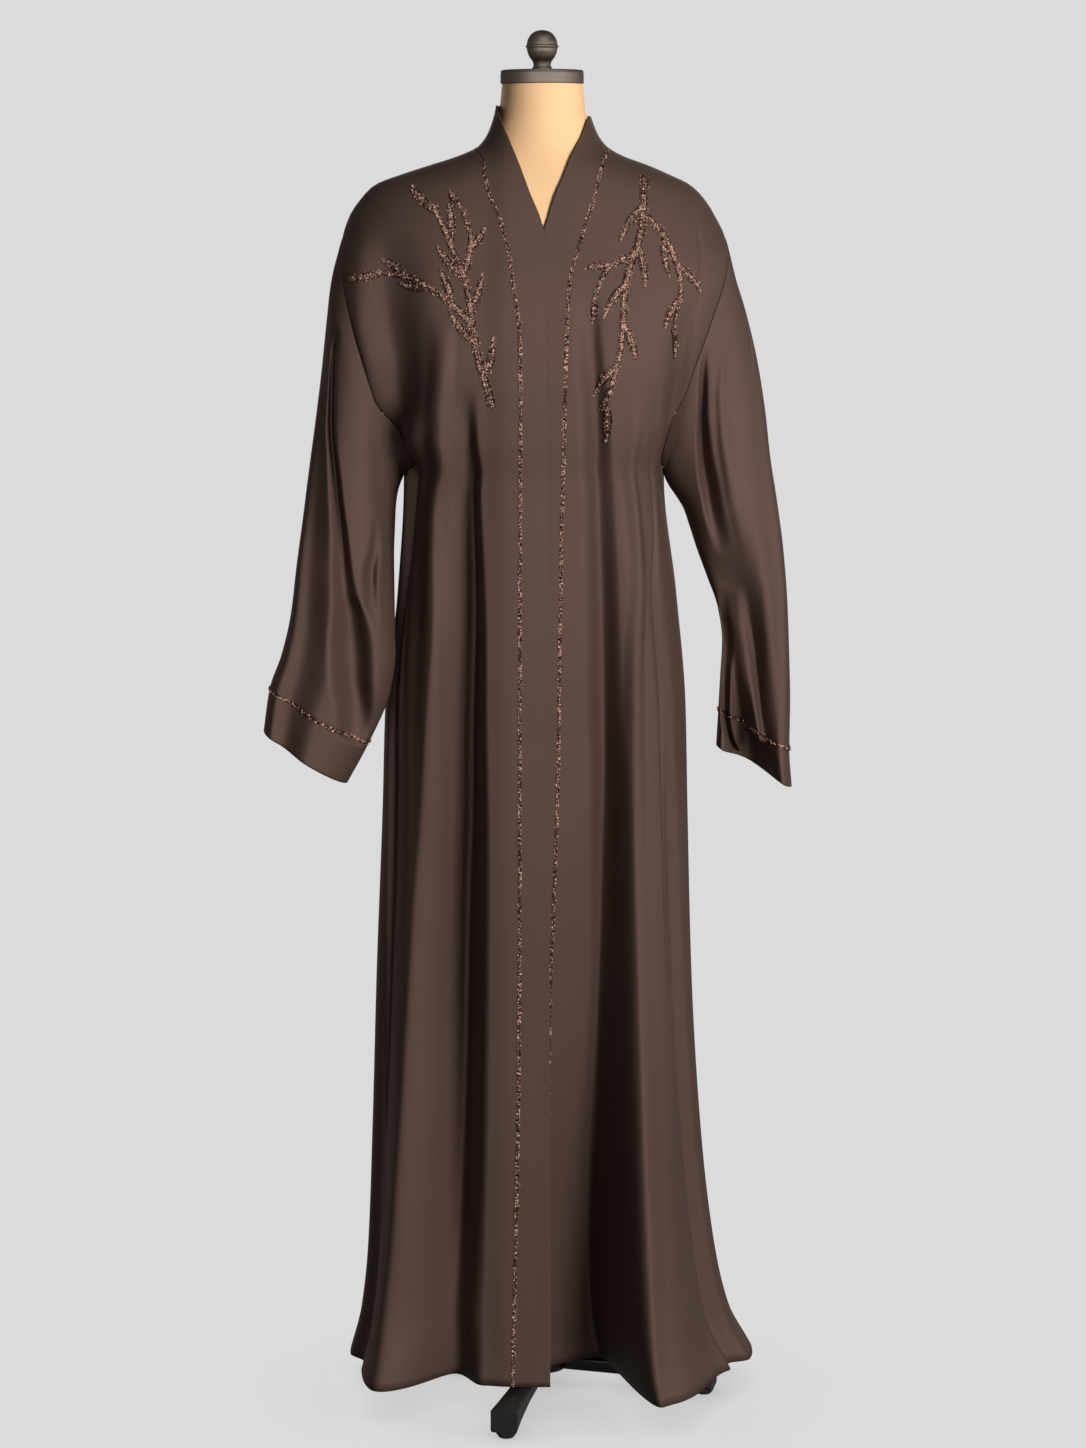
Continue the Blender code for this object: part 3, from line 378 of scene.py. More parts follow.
# Neck cap, knob and stand
CAP_RADIUS = 0.0472
CAP_BASE_Z = 1.5279
CAP_TOP_Z = 1.5431
CAP_EDGE = 0.0006
KNOB_X = -0.0010
KNOB_PROFILE = (
    (0.0114, 1.5434), (0.0114, 1.5450), (0.0098, 1.5478), (0.0104, 1.5515),
    (0.0146, 1.5580), (0.0170, 1.5645), (0.0176, 1.5678), (0.0187, 1.5686),
    (0.0187, 1.5700), (0.0176, 1.5708), (0.0170, 1.5745), (0.0150, 1.5795),
    (0.0115, 1.5838), (0.0062, 1.5867), (0.0020, 1.5875), (0.0, 1.5875),
)
POLE_RADIUS = 0.0125
HUB_RADIUS = 0.0270
HUB_BASE_Z = 0.0180
HUB_TOP_Z = 0.0700
PART_GAP = 0.0003
LEG_COUNT = 4
LEG_FIRST_ANGLE = math.radians(-102.4)
LEG_COLUMNS = ("reach", "half_width", "low", "high")
LEG = (
    (0.0273, 0.0120, 0.0200, 0.0350),
    (0.1100, 0.0125, 0.0180, 0.0345),
    (0.1750, 0.0140, 0.0130, 0.0355),
    (0.2080, 0.0155, 0.0086, 0.0360),
)
LEG_CHAMFER = 0.0030
PAD_REACH = 0.1950
PAD_TOP_RADIUS = 0.0120
PAD_FOOT_RADIUS = 0.0085
PAD_TOP_Z = 0.0083

# Camera: eye height, distance from the pole, focal length on a 36 mm long side
EYE_Z = 1.40
EYE_DISTANCE = 4.0
EYE_PITCH = 8.6
EYE_LENS = 3478.0 / 1448.0 * 36.0

# The body's table over height and loop angle
TABLE_ROWS = 640
TABLE_COLUMNS = 900
ANGLE_LOW = -0.9
ANGLE_HIGH = math.pi

# Sequin trims: pitch as shares of a sequin, lean in radians, chances of a gap or bead
TRIM_PITCH = 0.92
TRIM_GAPS = 0.06
TRIM_NO_BEAD = 0.62
SPRAY_PITCH = 0.62
SPRAY_NO_BEAD = 0.80
SEQUIN_LEAN = 0.42
BEAD_LEAN = 0.5
LEAF_WIDTH = 0.0094
LEAF_BEND = 0.22
CORNER_SHARE = 0.22
# Step for the body's normals, in metres and radians
SURFACE_STEP = 2e-3


# ---------------------------------------------------------------- curves and surfaces

def column(table, names, name):
    """One named column of a table as an array."""
    return np.array([row[names.index(name)] for row in table], float)


def smooth(at, xs, ys):
    """Monotone cubic through table points: on each gap a Hermite cubic whose slopes are
    the weighted harmonic means of the gaps' rises, held level at both ends."""
    at = np.clip(np.asarray(at, float), xs[0], xs[-1])
    gap = np.diff(xs)
    rise = np.diff(ys) / gap
    slope = np.empty(len(xs))
    slope[0], slope[-1] = rise[0], rise[-1]
    before, after = rise[:-1], rise[1:]
    w1, w2 = 2 * gap[1:] + gap[:-1], gap[1:] + 2 * gap[:-1]
    same = before * after > 0
    safe_b, safe_a = np.where(same, before, 1.0), np.where(same, after, 1.0)
    slope[1:-1] = np.where(same, (w1 + w2) / (w1 / safe_b + w2 / safe_a), 0.0)
    k = np.clip(np.searchsorted(xs, at, side="right") - 1, 0, len(xs) - 2)
    h, t = gap[k], (at - xs[k]) / gap[k]
    low = (1 + 2 * t) * (1 - t) ** 2 * ys[k] + t * (1 - t) ** 2 * h * slope[k]
    high = t * t * (3 - 2 * t) * ys[k + 1] + t * t * (t - 1) * h * slope[k + 1]
    return low + high


def bump(t):
    """Rounded hump: squared cosine, one at the middle, zero beyond one either way."""
    return np.where(np.abs(t) < 1, np.cos(0.5 * np.pi * np.clip(t, -1, 1)) ** 2, 0.0)


def ease(t):
    """Smooth step: three t squared less two t cubed, from zero to one."""
    t = np.clip(t, 0, 1)
    return t * t * (3 - 2 * t)


def unit(v):
    """Vectors scaled to length one."""
    return v / np.maximum(np.linalg.norm(v, axis=-1, keepdims=True), 1e-12)


def run_of(points, axis):
    """Length run along one axis of a grid of points, starting at zero."""
    steps = np.linalg.norm(np.diff(points, axis=axis), axis=-1)
    start = np.zeros_like(np.take(steps, [0], axis=axis))
    return np.concatenate([start, np.cumsum(steps, axis=axis)], axis=axis)


def rows_at(at, run, values):
    """Rows of values met at lengths along a run, by straight interpolation."""
    return np.stack([np.interp(at, run, v) for v in values.T], 1)


def slope_normals(grid, closed=False):
    """Normals of a grid: the cross product of its differences across and along."""
    if closed:
        across = np.roll(grid, -1, axis=1) - np.roll(grid, 1, axis=1)
    else:
        across = np.gradient(grid, axis=1)
    along = np.gradient(grid, axis=0)
    return unit(np.cross(across, along))


def arm_angle(z):
    """Angle round the armhole at a height: 0 at the underarm, pi at the top."""
    return np.arccos(np.clip((ARM_MIDDLE_Z - z) / ARM_REACH, -1, 1))


def section(side, z):
    """Half width, front depth, back depth and power of the body loops at heights z."""
    heights = column(SECTIONS, SECTION_COLUMNS, "height")
    names = ("left" if side == LEFT else "right", "front", "back", "power")
    half, front, back, power = (
        smooth(z, heights, column(SECTIONS, SECTION_COLUMNS, n)) for n in names)
    open_share = ARM_OPEN * np.sin(arm_angle(z))
    eased = ease((z - UNDERARM_Z) / (ARM_EASE * (SHOULDER_TIP_Z - UNDERARM_Z)))
    half = half / (1 - eased * open_share ** power) ** (1 / power)
    return half, front, back, power


def loop_angle(side, z, x):
    """Loop angle of the front point whose x is given: arcsine of the share of the half
    width raised to half the power, zero at the centre front."""
    half, _, _, power = section(side, z)
    share = np.clip(np.abs(x) / half, 0, 1)
    return np.sign(x * side) * np.arcsin(share ** (power / 2))


def run_at(run, at, low=ANGLE_LOW, high=ANGLE_HIGH):
    """Length run of each row at its own angle, by interpolation along the row."""
    last = run.shape[1] - 1
    place = np.clip((at - low) / (high - low), 0, 1) * last
    k = np.clip(place.astype(int), 0, last - 1)
    first = np.take_along_axis(run, k, axis=1)
    return first + (np.take_along_axis(run, k + 1, axis=1) - first) * (place - k)


def half_of_body(side):
    """Half of the body as a table over height and loop angle, without and with creases.
    A point is the superellipse (half sin^(2/p), depth cos^(2/p)), moved inwards by the
    sum of the folds' humps and then of the creases' humps, each a squared cosine of the
    length run from its line over its reach."""
    z = np.linspace(HEM_Z, TABLE_TOP_Z, TABLE_ROWS)[:, None]
    angle = np.linspace(ANGLE_LOW, ANGLE_HIGH, TABLE_COLUMNS)[None, :]
    half, front, back, power = section(side, z)
    s, c = np.sin(angle), np.cos(angle)
    x = side * half * np.sign(s) * np.abs(s) ** (2 / power)
    y = np.where(c > 0, -front, back) * np.abs(c) ** (2 / power)
    flat = np.stack([x, y], -1)
    along = unit(np.gradient(flat, axis=1))
    inward = side * np.stack([-along[..., 1], along[..., 0]], -1)
    run = run_of(flat, 1)
    move = np.zeros_like(run)
    for row in FOLDS:
        f = dict(zip(FOLD_COLUMNS, row))
        if f["side"] != side:
            continue
        grown = np.clip((f["start"] - z) / (f["start"] - HEM_Z), 0, None)
        place = f["place_top"] + (f["place_hem"] - f["place_top"]) * grown
        at = np.arcsin(np.clip(place, 0, 1) ** (power / 2))
        inner, outer = f["inner"], f["outer"]
        if f["face"] == "back":
            at, inner, outer = np.pi - at, outer, inner
        off = run - run_at(run, at)
        reach = np.where(off < 0, inner, outer) * (0.6 + 0.4 * grown)
        move += f["depth"] * grown ** f["growth"] * bump(off / reach)
    if side == LEFT:
        lift = ease((OVERLAP_FADE_X - np.abs(x)) / (OVERLAP_FADE_X - OVERLAP_FULL_X))
        lift = np.where(x > 0, 1.0, lift)
        move -= OVERLAP_LIFT * np.where(c > 0, lift, 0.0)
    push = np.zeros_like(run)
    for crease_side, points in CREASES:
        if crease_side == side:
            push += crease_depth(run, z, points, ANGLE_LOW, ANGLE_HIGH)
    height = np.broadcast_to(z, x.shape)
    plain = np.stack([x + inward[..., 0] * move, y + inward[..., 1] * move, height], -1)
    deep = np.concatenate([inward * push[..., None], np.zeros_like(x)[..., None]], -1)
    return plain, plain + deep


def crease_depth(run, along, points, low, high):
    """Depth of one crease over a table: its line, depth and reaches are monotone cubics
    of the height or station, and it fades from its line by a squared cosine."""
    rows = np.array(sorted(points), float)
    at, angle, depth, inner, outer = rows.T
    line = run_at(run, np.radians(smooth(along, at, angle)), low, high)
    off = run - line
    reach = np.where(off < 0, smooth(along, at, inner), smooth(along, at, outer))
    shown = np.where((along < at[0]) | (along > at[-1]), 0.0, smooth(along, at, depth))
    return shown * bump(off / reach)


HALVES = {}


def body_at(side, z, angle, creased=True):
    """Points of the body's half at heights and loop angles, by bilinear lookup."""
    if side not in HALVES:
        HALVES[side] = half_of_body(side)
    table = HALVES[side][int(creased)]
    z, angle = np.broadcast_arrays(np.asarray(z, float), np.asarray(angle, float))
    row = np.clip((z - HEM_Z) / (TABLE_TOP_Z - HEM_Z), 0, 1) * (TABLE_ROWS - 1)
    place = np.clip((angle - ANGLE_LOW) / (ANGLE_HIGH - ANGLE_LOW), 0, 1) * (TABLE_COLUMNS - 1)
    i = np.clip(row.astype(int), 0, TABLE_ROWS - 2)
    j = np.clip(place.astype(int), 0, TABLE_COLUMNS - 2)
    a, b = (row - i)[..., None], (place - j)[..., None]
    low = table[i, j] * (1 - b) + table[i, j + 1] * b
    high = table[i + 1, j] * (1 - b) + table[i + 1, j + 1] * b
    return low * (1 - a) + high * a


def body_normals(side, z, angle):
    """Outward normals of the body, from small steps round it and up it."""
    d = SURFACE_STEP
    turned = body_at(side, z, angle + d) - body_at(side, z, angle - d)
    raised = body_at(side, z + d, angle) - body_at(side, z - d, angle)
    return unit(np.cross(turned, raised)) * side


def band_table(side):
    """Front band table of one side."""
    return BAND_RIGHT_OF_WEARER if side == LEFT else BAND_LEFT_OF_WEARER


def seam_angle(side, z):
    """Loop angle of the band seam at heights z."""
    table = band_table(side)
    x = smooth(z, column(table, BAND_TABLE_COLUMNS, "seam_z"),
               column(table, BAND_TABLE_COLUMNS, "seam_x"))
    return loop_angle(side, z, x)


def side_angle(side, z):
    """Loop angle where the front panel stops: side seam, armhole or shoulder seam."""
    power = section(side, z)[3]
    return np.arccos((ARM_OPEN * np.sin(arm_angle(z))) ** (power / 2))


def body_heights(rows, top=FRONT_TOP_Z):
    """Row heights: even down the skirt and round the armhole, even along the shoulder."""
    skirt_rows, arm_rows, shoulder_rows = rows
    skirt = np.linspace(HEM_Z, UNDERARM_Z, skirt_rows + 1)
    turn = np.linspace(0, np.pi, arm_rows + 1)
    arm = ARM_MIDDLE_Z - ARM_REACH * np.cos(turn)
    fine = np.linspace(SHOULDER_TIP_Z, top, 200)
    widths = section(LEFT, fine)[0]
    run = np.concatenate([[0.0], np.cumsum(np.hypot(np.diff(fine), np.diff(widths)))])
    shoulder = np.interp(np.linspace(0, run[-1], shoulder_rows + 1), run, fine)
    return np.concatenate([skirt, arm[1:], shoulder[1:]])


def spaced_rows(dense, shares, trim):
    """Rows of dense points made even: each row is cut at shares of its own length."""
    run = run_of(dense, 1)
    rows = []
    for points, length in zip(dense, run):
        wanted = trim + shares * (length[-1] - 2 * trim)
        rows.append(rows_at(wanted, length, points))
    return np.array(rows)


def sleeve_rings(side):
    """Ring columns of one sleeve as curves over 0 (armhole) to 1 (hem)."""
    table = RINGS_RIGHT_ARM if side == LEFT else RINGS_LEFT_ARM
    stations = np.linspace(0, 1, len(table))
    return stations, {n: column(table, RING_COLUMNS, n) for n in RING_COLUMNS}


def ring_at(side, t, angle):
    """Sleeve rings at stations t (a column) and angles (a row): middle plus half the
    inner-to-outer line times the cosine, depth times the sine, with the folds' humps."""
    stations, columns = sleeve_rings(side)
    v = {n: smooth(t, stations, c) for n, c in columns.items()}
    s, c = np.sin(angle), np.cos(angle)
    x = (v["inner_x"] + v["outer_x"]) / 2 + (v["inner_x"] - v["outer_x"]) / 2 * c
    z = (v["inner_z"] + v["outer_z"]) / 2 + (v["inner_z"] - v["outer_z"]) / 2 * c
    y = v["mid_y"] - np.where(s > 0, v["front"], v["back"]) * s
    for row in SLEEVE_FOLDS:
        f = dict(zip(SLEEVE_FOLD_COLUMNS, row))
        if f["side"] != side:
            continue
        grown = np.clip((t - f["start"]) / (1 - f["start"]), 0, None)
        at = np.radians(f["angle_top"] + (f["angle_end"] - f["angle_top"]) * grown)
        off = (angle - at + np.pi) % (2 * np.pi) - np.pi
        reach = np.radians(np.where(off < 0, f["toward_inner"], f["toward_outer"]))
        push = f["depth"] * grown ** f["growth"] * bump(off / reach)
        y = y + np.where(s > 0, 1, -1) * push
    return np.stack([x, y, z], -1)


def armhole_at(side, angle, creased=True):
    """Points of the body's surface round the armhole."""
    turn = angle % (2 * np.pi)
    z = ARM_MIDDLE_Z - ARM_REACH * np.cos(turn)
    at = side_angle(side, z)
    return body_at(side, z, np.where(turn <= np.pi, at, np.pi - at), creased)


def sleeve_at(side, t, angle):
    """Sleeve points: rings that start on the armhole and ease into the ring table; what
    the body's creases add at the armhole dies out in a shorter run."""
    t, angle = np.asarray(t, float)[:, None], np.asarray(angle, float)[None, :]
    plain = armhole_at(side, angle[0], False)
    offset = plain - ring_at(side, np.zeros((1, 1)), angle)[0]
    extra = armhole_at(side, angle[0]) - plain
    fade = (1 - ease(t / ARM_BLEND))[..., None]
    quick = (1 - ease(t / CREASE_BLEND))[..., None]
    return ring_at(side, t, angle) + fade * offset[None] + quick * extra[None]


def ring_inward(t, angle):
    """Inward directions on the sleeve: straight back on its front and forward on its back,
    eased by the sine of the turn over the root of its square plus a small softness, so that
    creases leave the two edges seen from the front where they are."""
    s = np.sin(angle) + 0 * t
    share = s / np.sqrt(s ** 2 + EDGE_SOFTNESS)
    return share[..., None] * np.array([0.0, 1.0, 0.0])


def sleeve_cloth(side, stations):
    """Sleeve grid and outward normals with its creases, round a closed turn. The turn
    starts at the back, so that no crease crosses its first line."""
    angle = TURN_START + np.linspace(0, 2 * np.pi, SLEEVE_TURN_COLUMNS + 1)
    grid = sleeve_at(side, stations, angle)
    run = run_of(grid, 1)
    push = np.zeros_like(run)
    for crease_side, points in SLEEVE_CREASES:
        if crease_side == side:
            push += crease_depth(run, stations[:, None], points,
                                 TURN_START, TURN_START + 2 * np.pi)
    grid = grid + ring_inward(stations[:, None], angle[None, :]) * push[..., None]
    grid = grid[:, :-1]
    return grid, slope_normals(grid, closed=True) * -side


# ---------------------------------------------------------------- meshes

def mesh_piece(name, points, faces, smooth_faces=True, uv=None, value=None):
    """Mesh object at the origin from whole arrays of points and equal-sided faces."""
    mesh = bpy.data.meshes.new(name)
    sides = faces.shape[1]
    mesh.vertices.add(len(points))
    mesh.vertices.foreach_set("co", points.astype(np.float32).ravel())
    mesh.loops.add(faces.size)
    mesh.loops.foreach_set("vertex_index", faces.astype(np.int32).ravel())
    mesh.polygons.add(len(faces))
    mesh.polygons.foreach_set("loop_start", np.arange(0, faces.size, sides, dtype=np.int32))
    shade = np.broadcast_to(np.asarray(smooth_faces, bool), (len(faces),))
    mesh.polygons.foreach_set("use_smooth", shade.copy())
    mesh.update(calc_edges=True)
    if uv is not None:
        layer = mesh.uv_layers.new(name="cloth")
        layer.data.foreach_set("uv", uv.astype(np.float32).ravel())
    if value is not None:
        shade = mesh.attributes.new("tone", "FLOAT", "POINT")
        shade.data.foreach_set("value", value.astype(np.float32))
    made = bpy.data.objects.new(name, mesh)
    bpy.context.scene.collection.objects.link(made)
    return made


def shell(name, grid, normals, thickness, closed=False):
    """Thin closed wall: the grid, the same grid moved in by the thickness, and rims.
    The UV map holds the length run across and along the cloth, in metres."""
    grid = grid + np.array([POLE_X, 0.0, 0.0])
    rows, columns = grid.shape[:2]
    inner = grid - normals * thickness
    points = np.concatenate([grid.reshape(-1, 3), inner.reshape(-1, 3)])
    size = rows * columns
    number = np.arange(size).reshape(rows, columns)
    wide = grid
    if closed:
        number = np.concatenate([number, number[:, :1]], axis=1)
        wide = np.concatenate([grid, grid[:, :1]], axis=1)
    u = run_of(wide, 1)
    u = u - u[:, u.shape[1] // 2][:, None]
    v = np.broadcast_to(run_of(wide, 0).mean(1)[:, None], u.shape)
    uv = np.stack([u, v], -1)

    def quads(n):
        return np.stack([n[:-1, :-1], n[:-1, 1:], n[1:, 1:], n[1:, :-1]], -1).reshape(-1, 4)

    place = np.arange(u.size).reshape(u.shape)
    spots = quads(place)
    faces = [quads(number), quads(number)[:, ::-1] + size]
    where = [spots, spots[:, ::-1]]
    flat_from = 2 * len(spots)

    def rim(top, low, at):
        faces.append(np.stack([top[1:], top[:-1], low[:-1], low[1:]], 1))
        where.append(np.stack([at[1:], at[:-1], at[:-1], at[1:]], 1))

    rim(number[0], number[0] + size, place[0])
    rim(number[-1][::-1], number[-1][::-1] + size, place[-1][::-1])
    if not closed:
        rim(number[::-1, 0], number[::-1, 0] + size, place[::-1, 0])
        rim(number[:, -1], number[:, -1] + size, place[:, -1])
    faces, where = np.concatenate(faces), np.concatenate(where)
    p = points[faces]
    facing = np.cross(p[:, 1], p[:, 2]) + np.cross(p[:, 2], p[:, 3])
    if np.einsum("ij,ij->i", p[:, 0], facing).sum() < 0:
        faces, where = faces[:, ::-1], where[:, ::-1]
    shade = np.arange(len(faces)) < flat_from
    return mesh_piece(name, points, faces, shade, uv.reshape(-1, 2)[where])


def loft(name, rings):
    """Closed solid of triangles through rings of equal count, ended by flat-shaded fans
    to the end rings' middles."""
    rings = np.asarray(rings, float) + np.array([POLE_X, 0.0, 0.0])
    levels, count = rings.shape[:2]
    ends = np.stack([rings[0].mean(0), rings[-1].mean(0)])
    points = np.concatenate([rings.reshape(-1, 3), ends])
    number = np.arange(levels * count).reshape(levels, count)
    number = np.concatenate([number, number[:, :1]], axis=1)
    a, b = number[:-1, :-1].ravel(), number[:-1, 1:].ravel()
    c, d = number[1:, 1:].ravel(), number[1:, :-1].ravel()
    foot, head = number[0], number[-1]
    low, high = np.full(count, levels * count), np.full(count, levels * count + 1)
    faces = np.concatenate([np.stack([a, b, c], 1), np.stack([a, c, d], 1),
                            np.stack([foot[1:], foot[:-1], low], 1),
                            np.stack([head[:-1], head[1:], high], 1)])
    p = points[faces]
    if np.einsum("ij,ij->i", p[:, 0], np.cross(p[:, 1], p[:, 2])).sum() < 0:
        faces = faces[:, ::-1]
    shade = np.arange(len(faces)) < 2 * len(a)
    return mesh_piece(name, points, faces, shade)


def turned_rings(profile, count, x=0.0, y=0.0):
    """Rings of a round part: each profile radius carried round a circle at its height."""
    profile = np.asarray(profile, float)
    turn = np.linspace(0, 2 * np.pi, count, endpoint=False)
    r, z = profile[:, :1], profile[:, 1:]
    return np.stack([x + r * np.cos(turn), y + r * np.sin(turn), z + 0 * turn], -1)


def softened(profile, each):
    """Profile with rounded corners: every corner is cut by a quadratic arc between the
    points a share of the way along its two edges."""
    p, share = np.asarray(profile, float), CORNER_SHARE
    out = [p[:1]]
    for before, corner, after in zip(p[:-2], p[1:-1], p[2:]):
        start, stop = corner + (before - corner) * share, corner + (after - corner) * share
        t = np.linspace(0, 1, each)[:, None]
        out.append((1 - t) ** 2 * start + 2 * t * (1 - t) * corner + t * t * stop)
    out.append(p[-1:])
    return np.concatenate(out)


def smooth_path(points, count):
    """Path through all its plane points: monotone cubics of both numbers over the
    length run from point to point."""
    p = np.asarray(points, float)
    run = run_of(p, 0)
    at = np.linspace(0, run[-1], count)
    return np.stack([smooth(at, run, p[:, 0]), smooth(at, run, p[:, 1])], 1)


# ---------------------------------------------------------------- small trims

def sequin_shape():
    """Closed six-sided lens of radius one: twelve triangles."""
    turn = np.linspace(0, 2 * np.pi, 6, endpoint=False)
    rim = np.stack([np.cos(turn), np.sin(turn), np.zeros(6)], 1)
    points = np.concatenate([rim, [[0, 0, 0.22], [0, 0, -0.22]]])
    ids = np.arange(6)
    after = (ids + 1) % 6
    faces = np.concatenate([np.stack([ids, after, np.full(6, 6)], 1),
                            np.stack([after, ids, np.full(6, 7)], 1)])
    return points, faces


def bead_shape():
    """Closed round bead of radius one: poles and two rings of six."""
    turn = np.linspace(0, 2 * np.pi, 6, endpoint=False)
    rings = [np.stack([0.87 * np.cos(turn + k * np.pi / 6), 0.87 * np.sin(turn + k * np.pi / 6),
                       np.full(6, h)], 1) for k, h in ((0, -0.5), (1, 0.5))]
    points = np.concatenate([rings[0], rings[1], [[0, 0, -1.0], [0, 0, 1.0]]])
    a = np.arange(6)
    b = (a + 1) % 6
    faces = np.concatenate([
        np.stack([a, b, a + 6], 1), np.stack([b, b + 6, a + 6], 1),
        np.stack([b, a, np.full(6, 12)], 1), np.stack([a + 6, b + 6, np.full(6, 13)], 1)])
    return points, faces


def copies(shape, centres, axes, sizes, tones):
    """Many copies of a small shape, as points, faces and tones: copy k is the shape
    scaled by sizes[k], turned to axes[k] (three unit vectors) and moved to centres[k]."""
    points, faces = shape
    placed = np.einsum("kpi,kij->kpj", points[None] * sizes[:, None, :], axes)
    placed = placed + centres[:, None, :]
    placed += np.array([POLE_X, 0.0, 0.0])
    shift = np.arange(len(centres))[:, None, None] * len(points)
    return (placed.reshape(-1, 3), (faces[None] + shift).reshape(-1, 3),
            np.repeat(tones, len(points)))


def joined(name, parts):
    """One mesh of several sets of copies, with their tones."""
    points, faces, tones = zip(*parts)
    base = np.cumsum([0] + [len(p) for p in points[:-1]])
    faces = np.concatenate([f + start for f, start in zip(faces, base)])
    return mesh_piece(name, np.concatenate(points), faces, False,
                      value=np.concatenate(tones))


def drawn_sizes(draw, size, low, high, count):
    """Radii of round copies, drawn evenly between two shares of half the size."""
    return size / 2 * draw.uniform(low, high, (count, 1)) * np.ones((1, 3))


def tilted(axes, lean, draw):
    """Frames leaned by random small angles about their own first two axes."""
    x, y, z = axes[:, 0], axes[:, 1], axes[:, 2]
    a = draw.normal(0, lean, (len(axes), 1))
    b = draw.normal(0, lean, (len(axes), 1))
    z = unit(z + a * x + b * y)
    x = unit(x - (x * z).sum(1, keepdims=True) * z)
    return np.stack([x, np.cross(z, x), z], 1)


def trim_line(name, path, outward, sizes, seed, closed=False):
    """Beaded trim along a seam: overlapping sequins in two close rows with small beads
    let in at uneven gaps, on stations an even pitch apart along the path."""
    draw = np.random.default_rng(seed)
    run = run_of(path, 0)
    pitch = sizes["sequin"] * TRIM_PITCH
    at = np.arange(0.0, run[-1] - (pitch if closed else 0.0), pitch)
    at = at + draw.normal(0, 0.10 * pitch, len(at))
    centre = rows_at(at, run, path)
    up = unit(rows_at(at, run, outward))
    ahead = rows_at(at + 5e-4, run, path)
    behind = rows_at(at - 5e-4, run, path)
    along = unit(ahead - behind)
    across = unit(np.cross(up, along))
    axes = np.stack([along, across, up], 1)
    pieces = []
    count = len(at)
    for row, off in enumerate((-0.30, 0.30)):
        keep = draw.random(count) > TRIM_GAPS
        side = off * sizes["width"] + draw.normal(0, 0.06 * sizes["width"], count)
        spot = centre + across * side[:, None] + up * 0.0006 + along * (row * pitch / 2)
        size = drawn_sizes(draw, sizes["sequin"], 0.85, 1.12, count)
        # Random tone per sequin, which the copper finish turns into painted shade on some and painted glints
        # on others
        tone = draw.random(count)
        pieces.append(copies(sequin_shape(), spot[keep],
                             tilted(axes[keep], SEQUIN_LEAN, draw), size[keep], tone[keep]))
    keep = draw.random(count) > TRIM_NO_BEAD
    side = draw.normal(0, 0.35 * sizes["width"], count)
    spot = centre + across * side[:, None] + up * 0.0013
    size = drawn_sizes(draw, sizes["bead"], 0.8, 1.25, count)
    # Tones above one paint the beads as bright glints
    pieces.append(copies(bead_shape(), spot[keep], tilted(axes[keep], BEAD_LEAN, draw),
                         size[keep], 1.0 + draw.random(count)[keep]))
    return joined(name, pieces)


# ---------------------------------------------------------------- embroidery sprays

# Leafy sprays: stems are drawn through (x, z) points seen from the front, on one side;
# width is the stem's width at its root, and leaves are set alternately along it
STEM_COLUMNS = ("side", "points", "width", "leaves", "leaf_length", "first_leaf")
STEMS = (
    (LEFT, ((-0.056, 1.170), (-0.074, 1.235), (-0.084, 1.300), (-0.106, 1.356), (-0.122, 1.392)),
     0.0100, 6, 0.052, 0.14),
    (LEFT, ((-0.079, 1.262), (-0.112, 1.292), (-0.150, 1.312), (-0.190, 1.318)),
     0.0088, 4, 0.044, 0.24),
    (LEFT, ((-0.086, 1.318), (-0.080, 1.352), (-0.090, 1.390)), 0.0080, 2, 0.034, 0.36),
    (RIGHT, ((0.114, 1.424), (0.110, 1.368), (0.092, 1.305), (0.087, 1.240), (0.068, 1.165)),
     0.0100, 6, 0.052, 0.12),
    (RIGHT, ((0.111, 1.385), (0.140, 1.350), (0.154, 1.300), (0.146, 1.250)),
     0.0088, 4, 0.044, 0.24),
    (RIGHT, ((0.101, 1.338), (0.072, 1.322), (0.056, 1.286)), 0.0080, 2, 0.034, 0.36),
)


def laid_on_body(side, plane):
    """Plane points (x, z) laid on the front of the body: points and outward normals."""
    x, z = plane[:, 0], plane[:, 1]
    angle = loop_angle(side, z, x)
    return body_at(side, z, angle), body_normals(side, z, angle)


def stroke(side, plane, widths, sizes, draw):
    """Stroke of sequins on the body: rows set square to the path, as many across as the
    width takes, each leaned a little, with beads strewn along both edges."""
    points, up = laid_on_body(side, plane)
    run = run_of(points, 0)
    pitch = sizes["sequin"] * SPRAY_PITCH
    at = np.arange(0.0, run[-1], pitch)
    centre = rows_at(at, run, points)
    up = unit(rows_at(at, run, up))
    along = unit(np.gradient(centre, axis=0))
    across = unit(np.cross(up, along))
    width = np.interp(at, run, widths)
    axes = np.stack([along, across, up], 1)
    lanes = np.linspace(-0.5, 0.5, 4)
    centres, frames, tones = [], [], []
    for k, lane in enumerate(lanes):
        shown = width > sizes["sequin"] * (0.15 if k in (1, 2) else 1.15)
        off = lane * np.maximum(width - sizes["sequin"] * 0.6, 0.0)
        spot = centre + across * off[:, None] + along * draw.normal(0, 0.25 * pitch, (len(at), 1))
        rise = 0.0007 + 0.0006 * (1 - (2 * lane) ** 2)
        spot = spot + up * rise
        centres.append(spot[shown])
        frames.append(tilted(axes[shown], SEQUIN_LEAN, draw))
        # Painted shade along the stroke's edges: the outer lanes take the darkest tones, the inner lanes
        # brighter ones
        low, wide = (0.30, 0.70) if k in (1, 2) else (0.0, 0.40)
        tones.append(low + wide * draw.random(int(shown.sum())))
    beads = draw.random(len(at)) > SPRAY_NO_BEAD
    edge = np.where(draw.random(len(at)) > 0.5, 1.0, -1.0) * (width / 2 + 0.0006)
    spot = centre + across * edge[:, None] + up * 0.0010
    return (np.concatenate(centres), np.concatenate(frames), np.concatenate(tones),
            spot[beads], axes[beads])


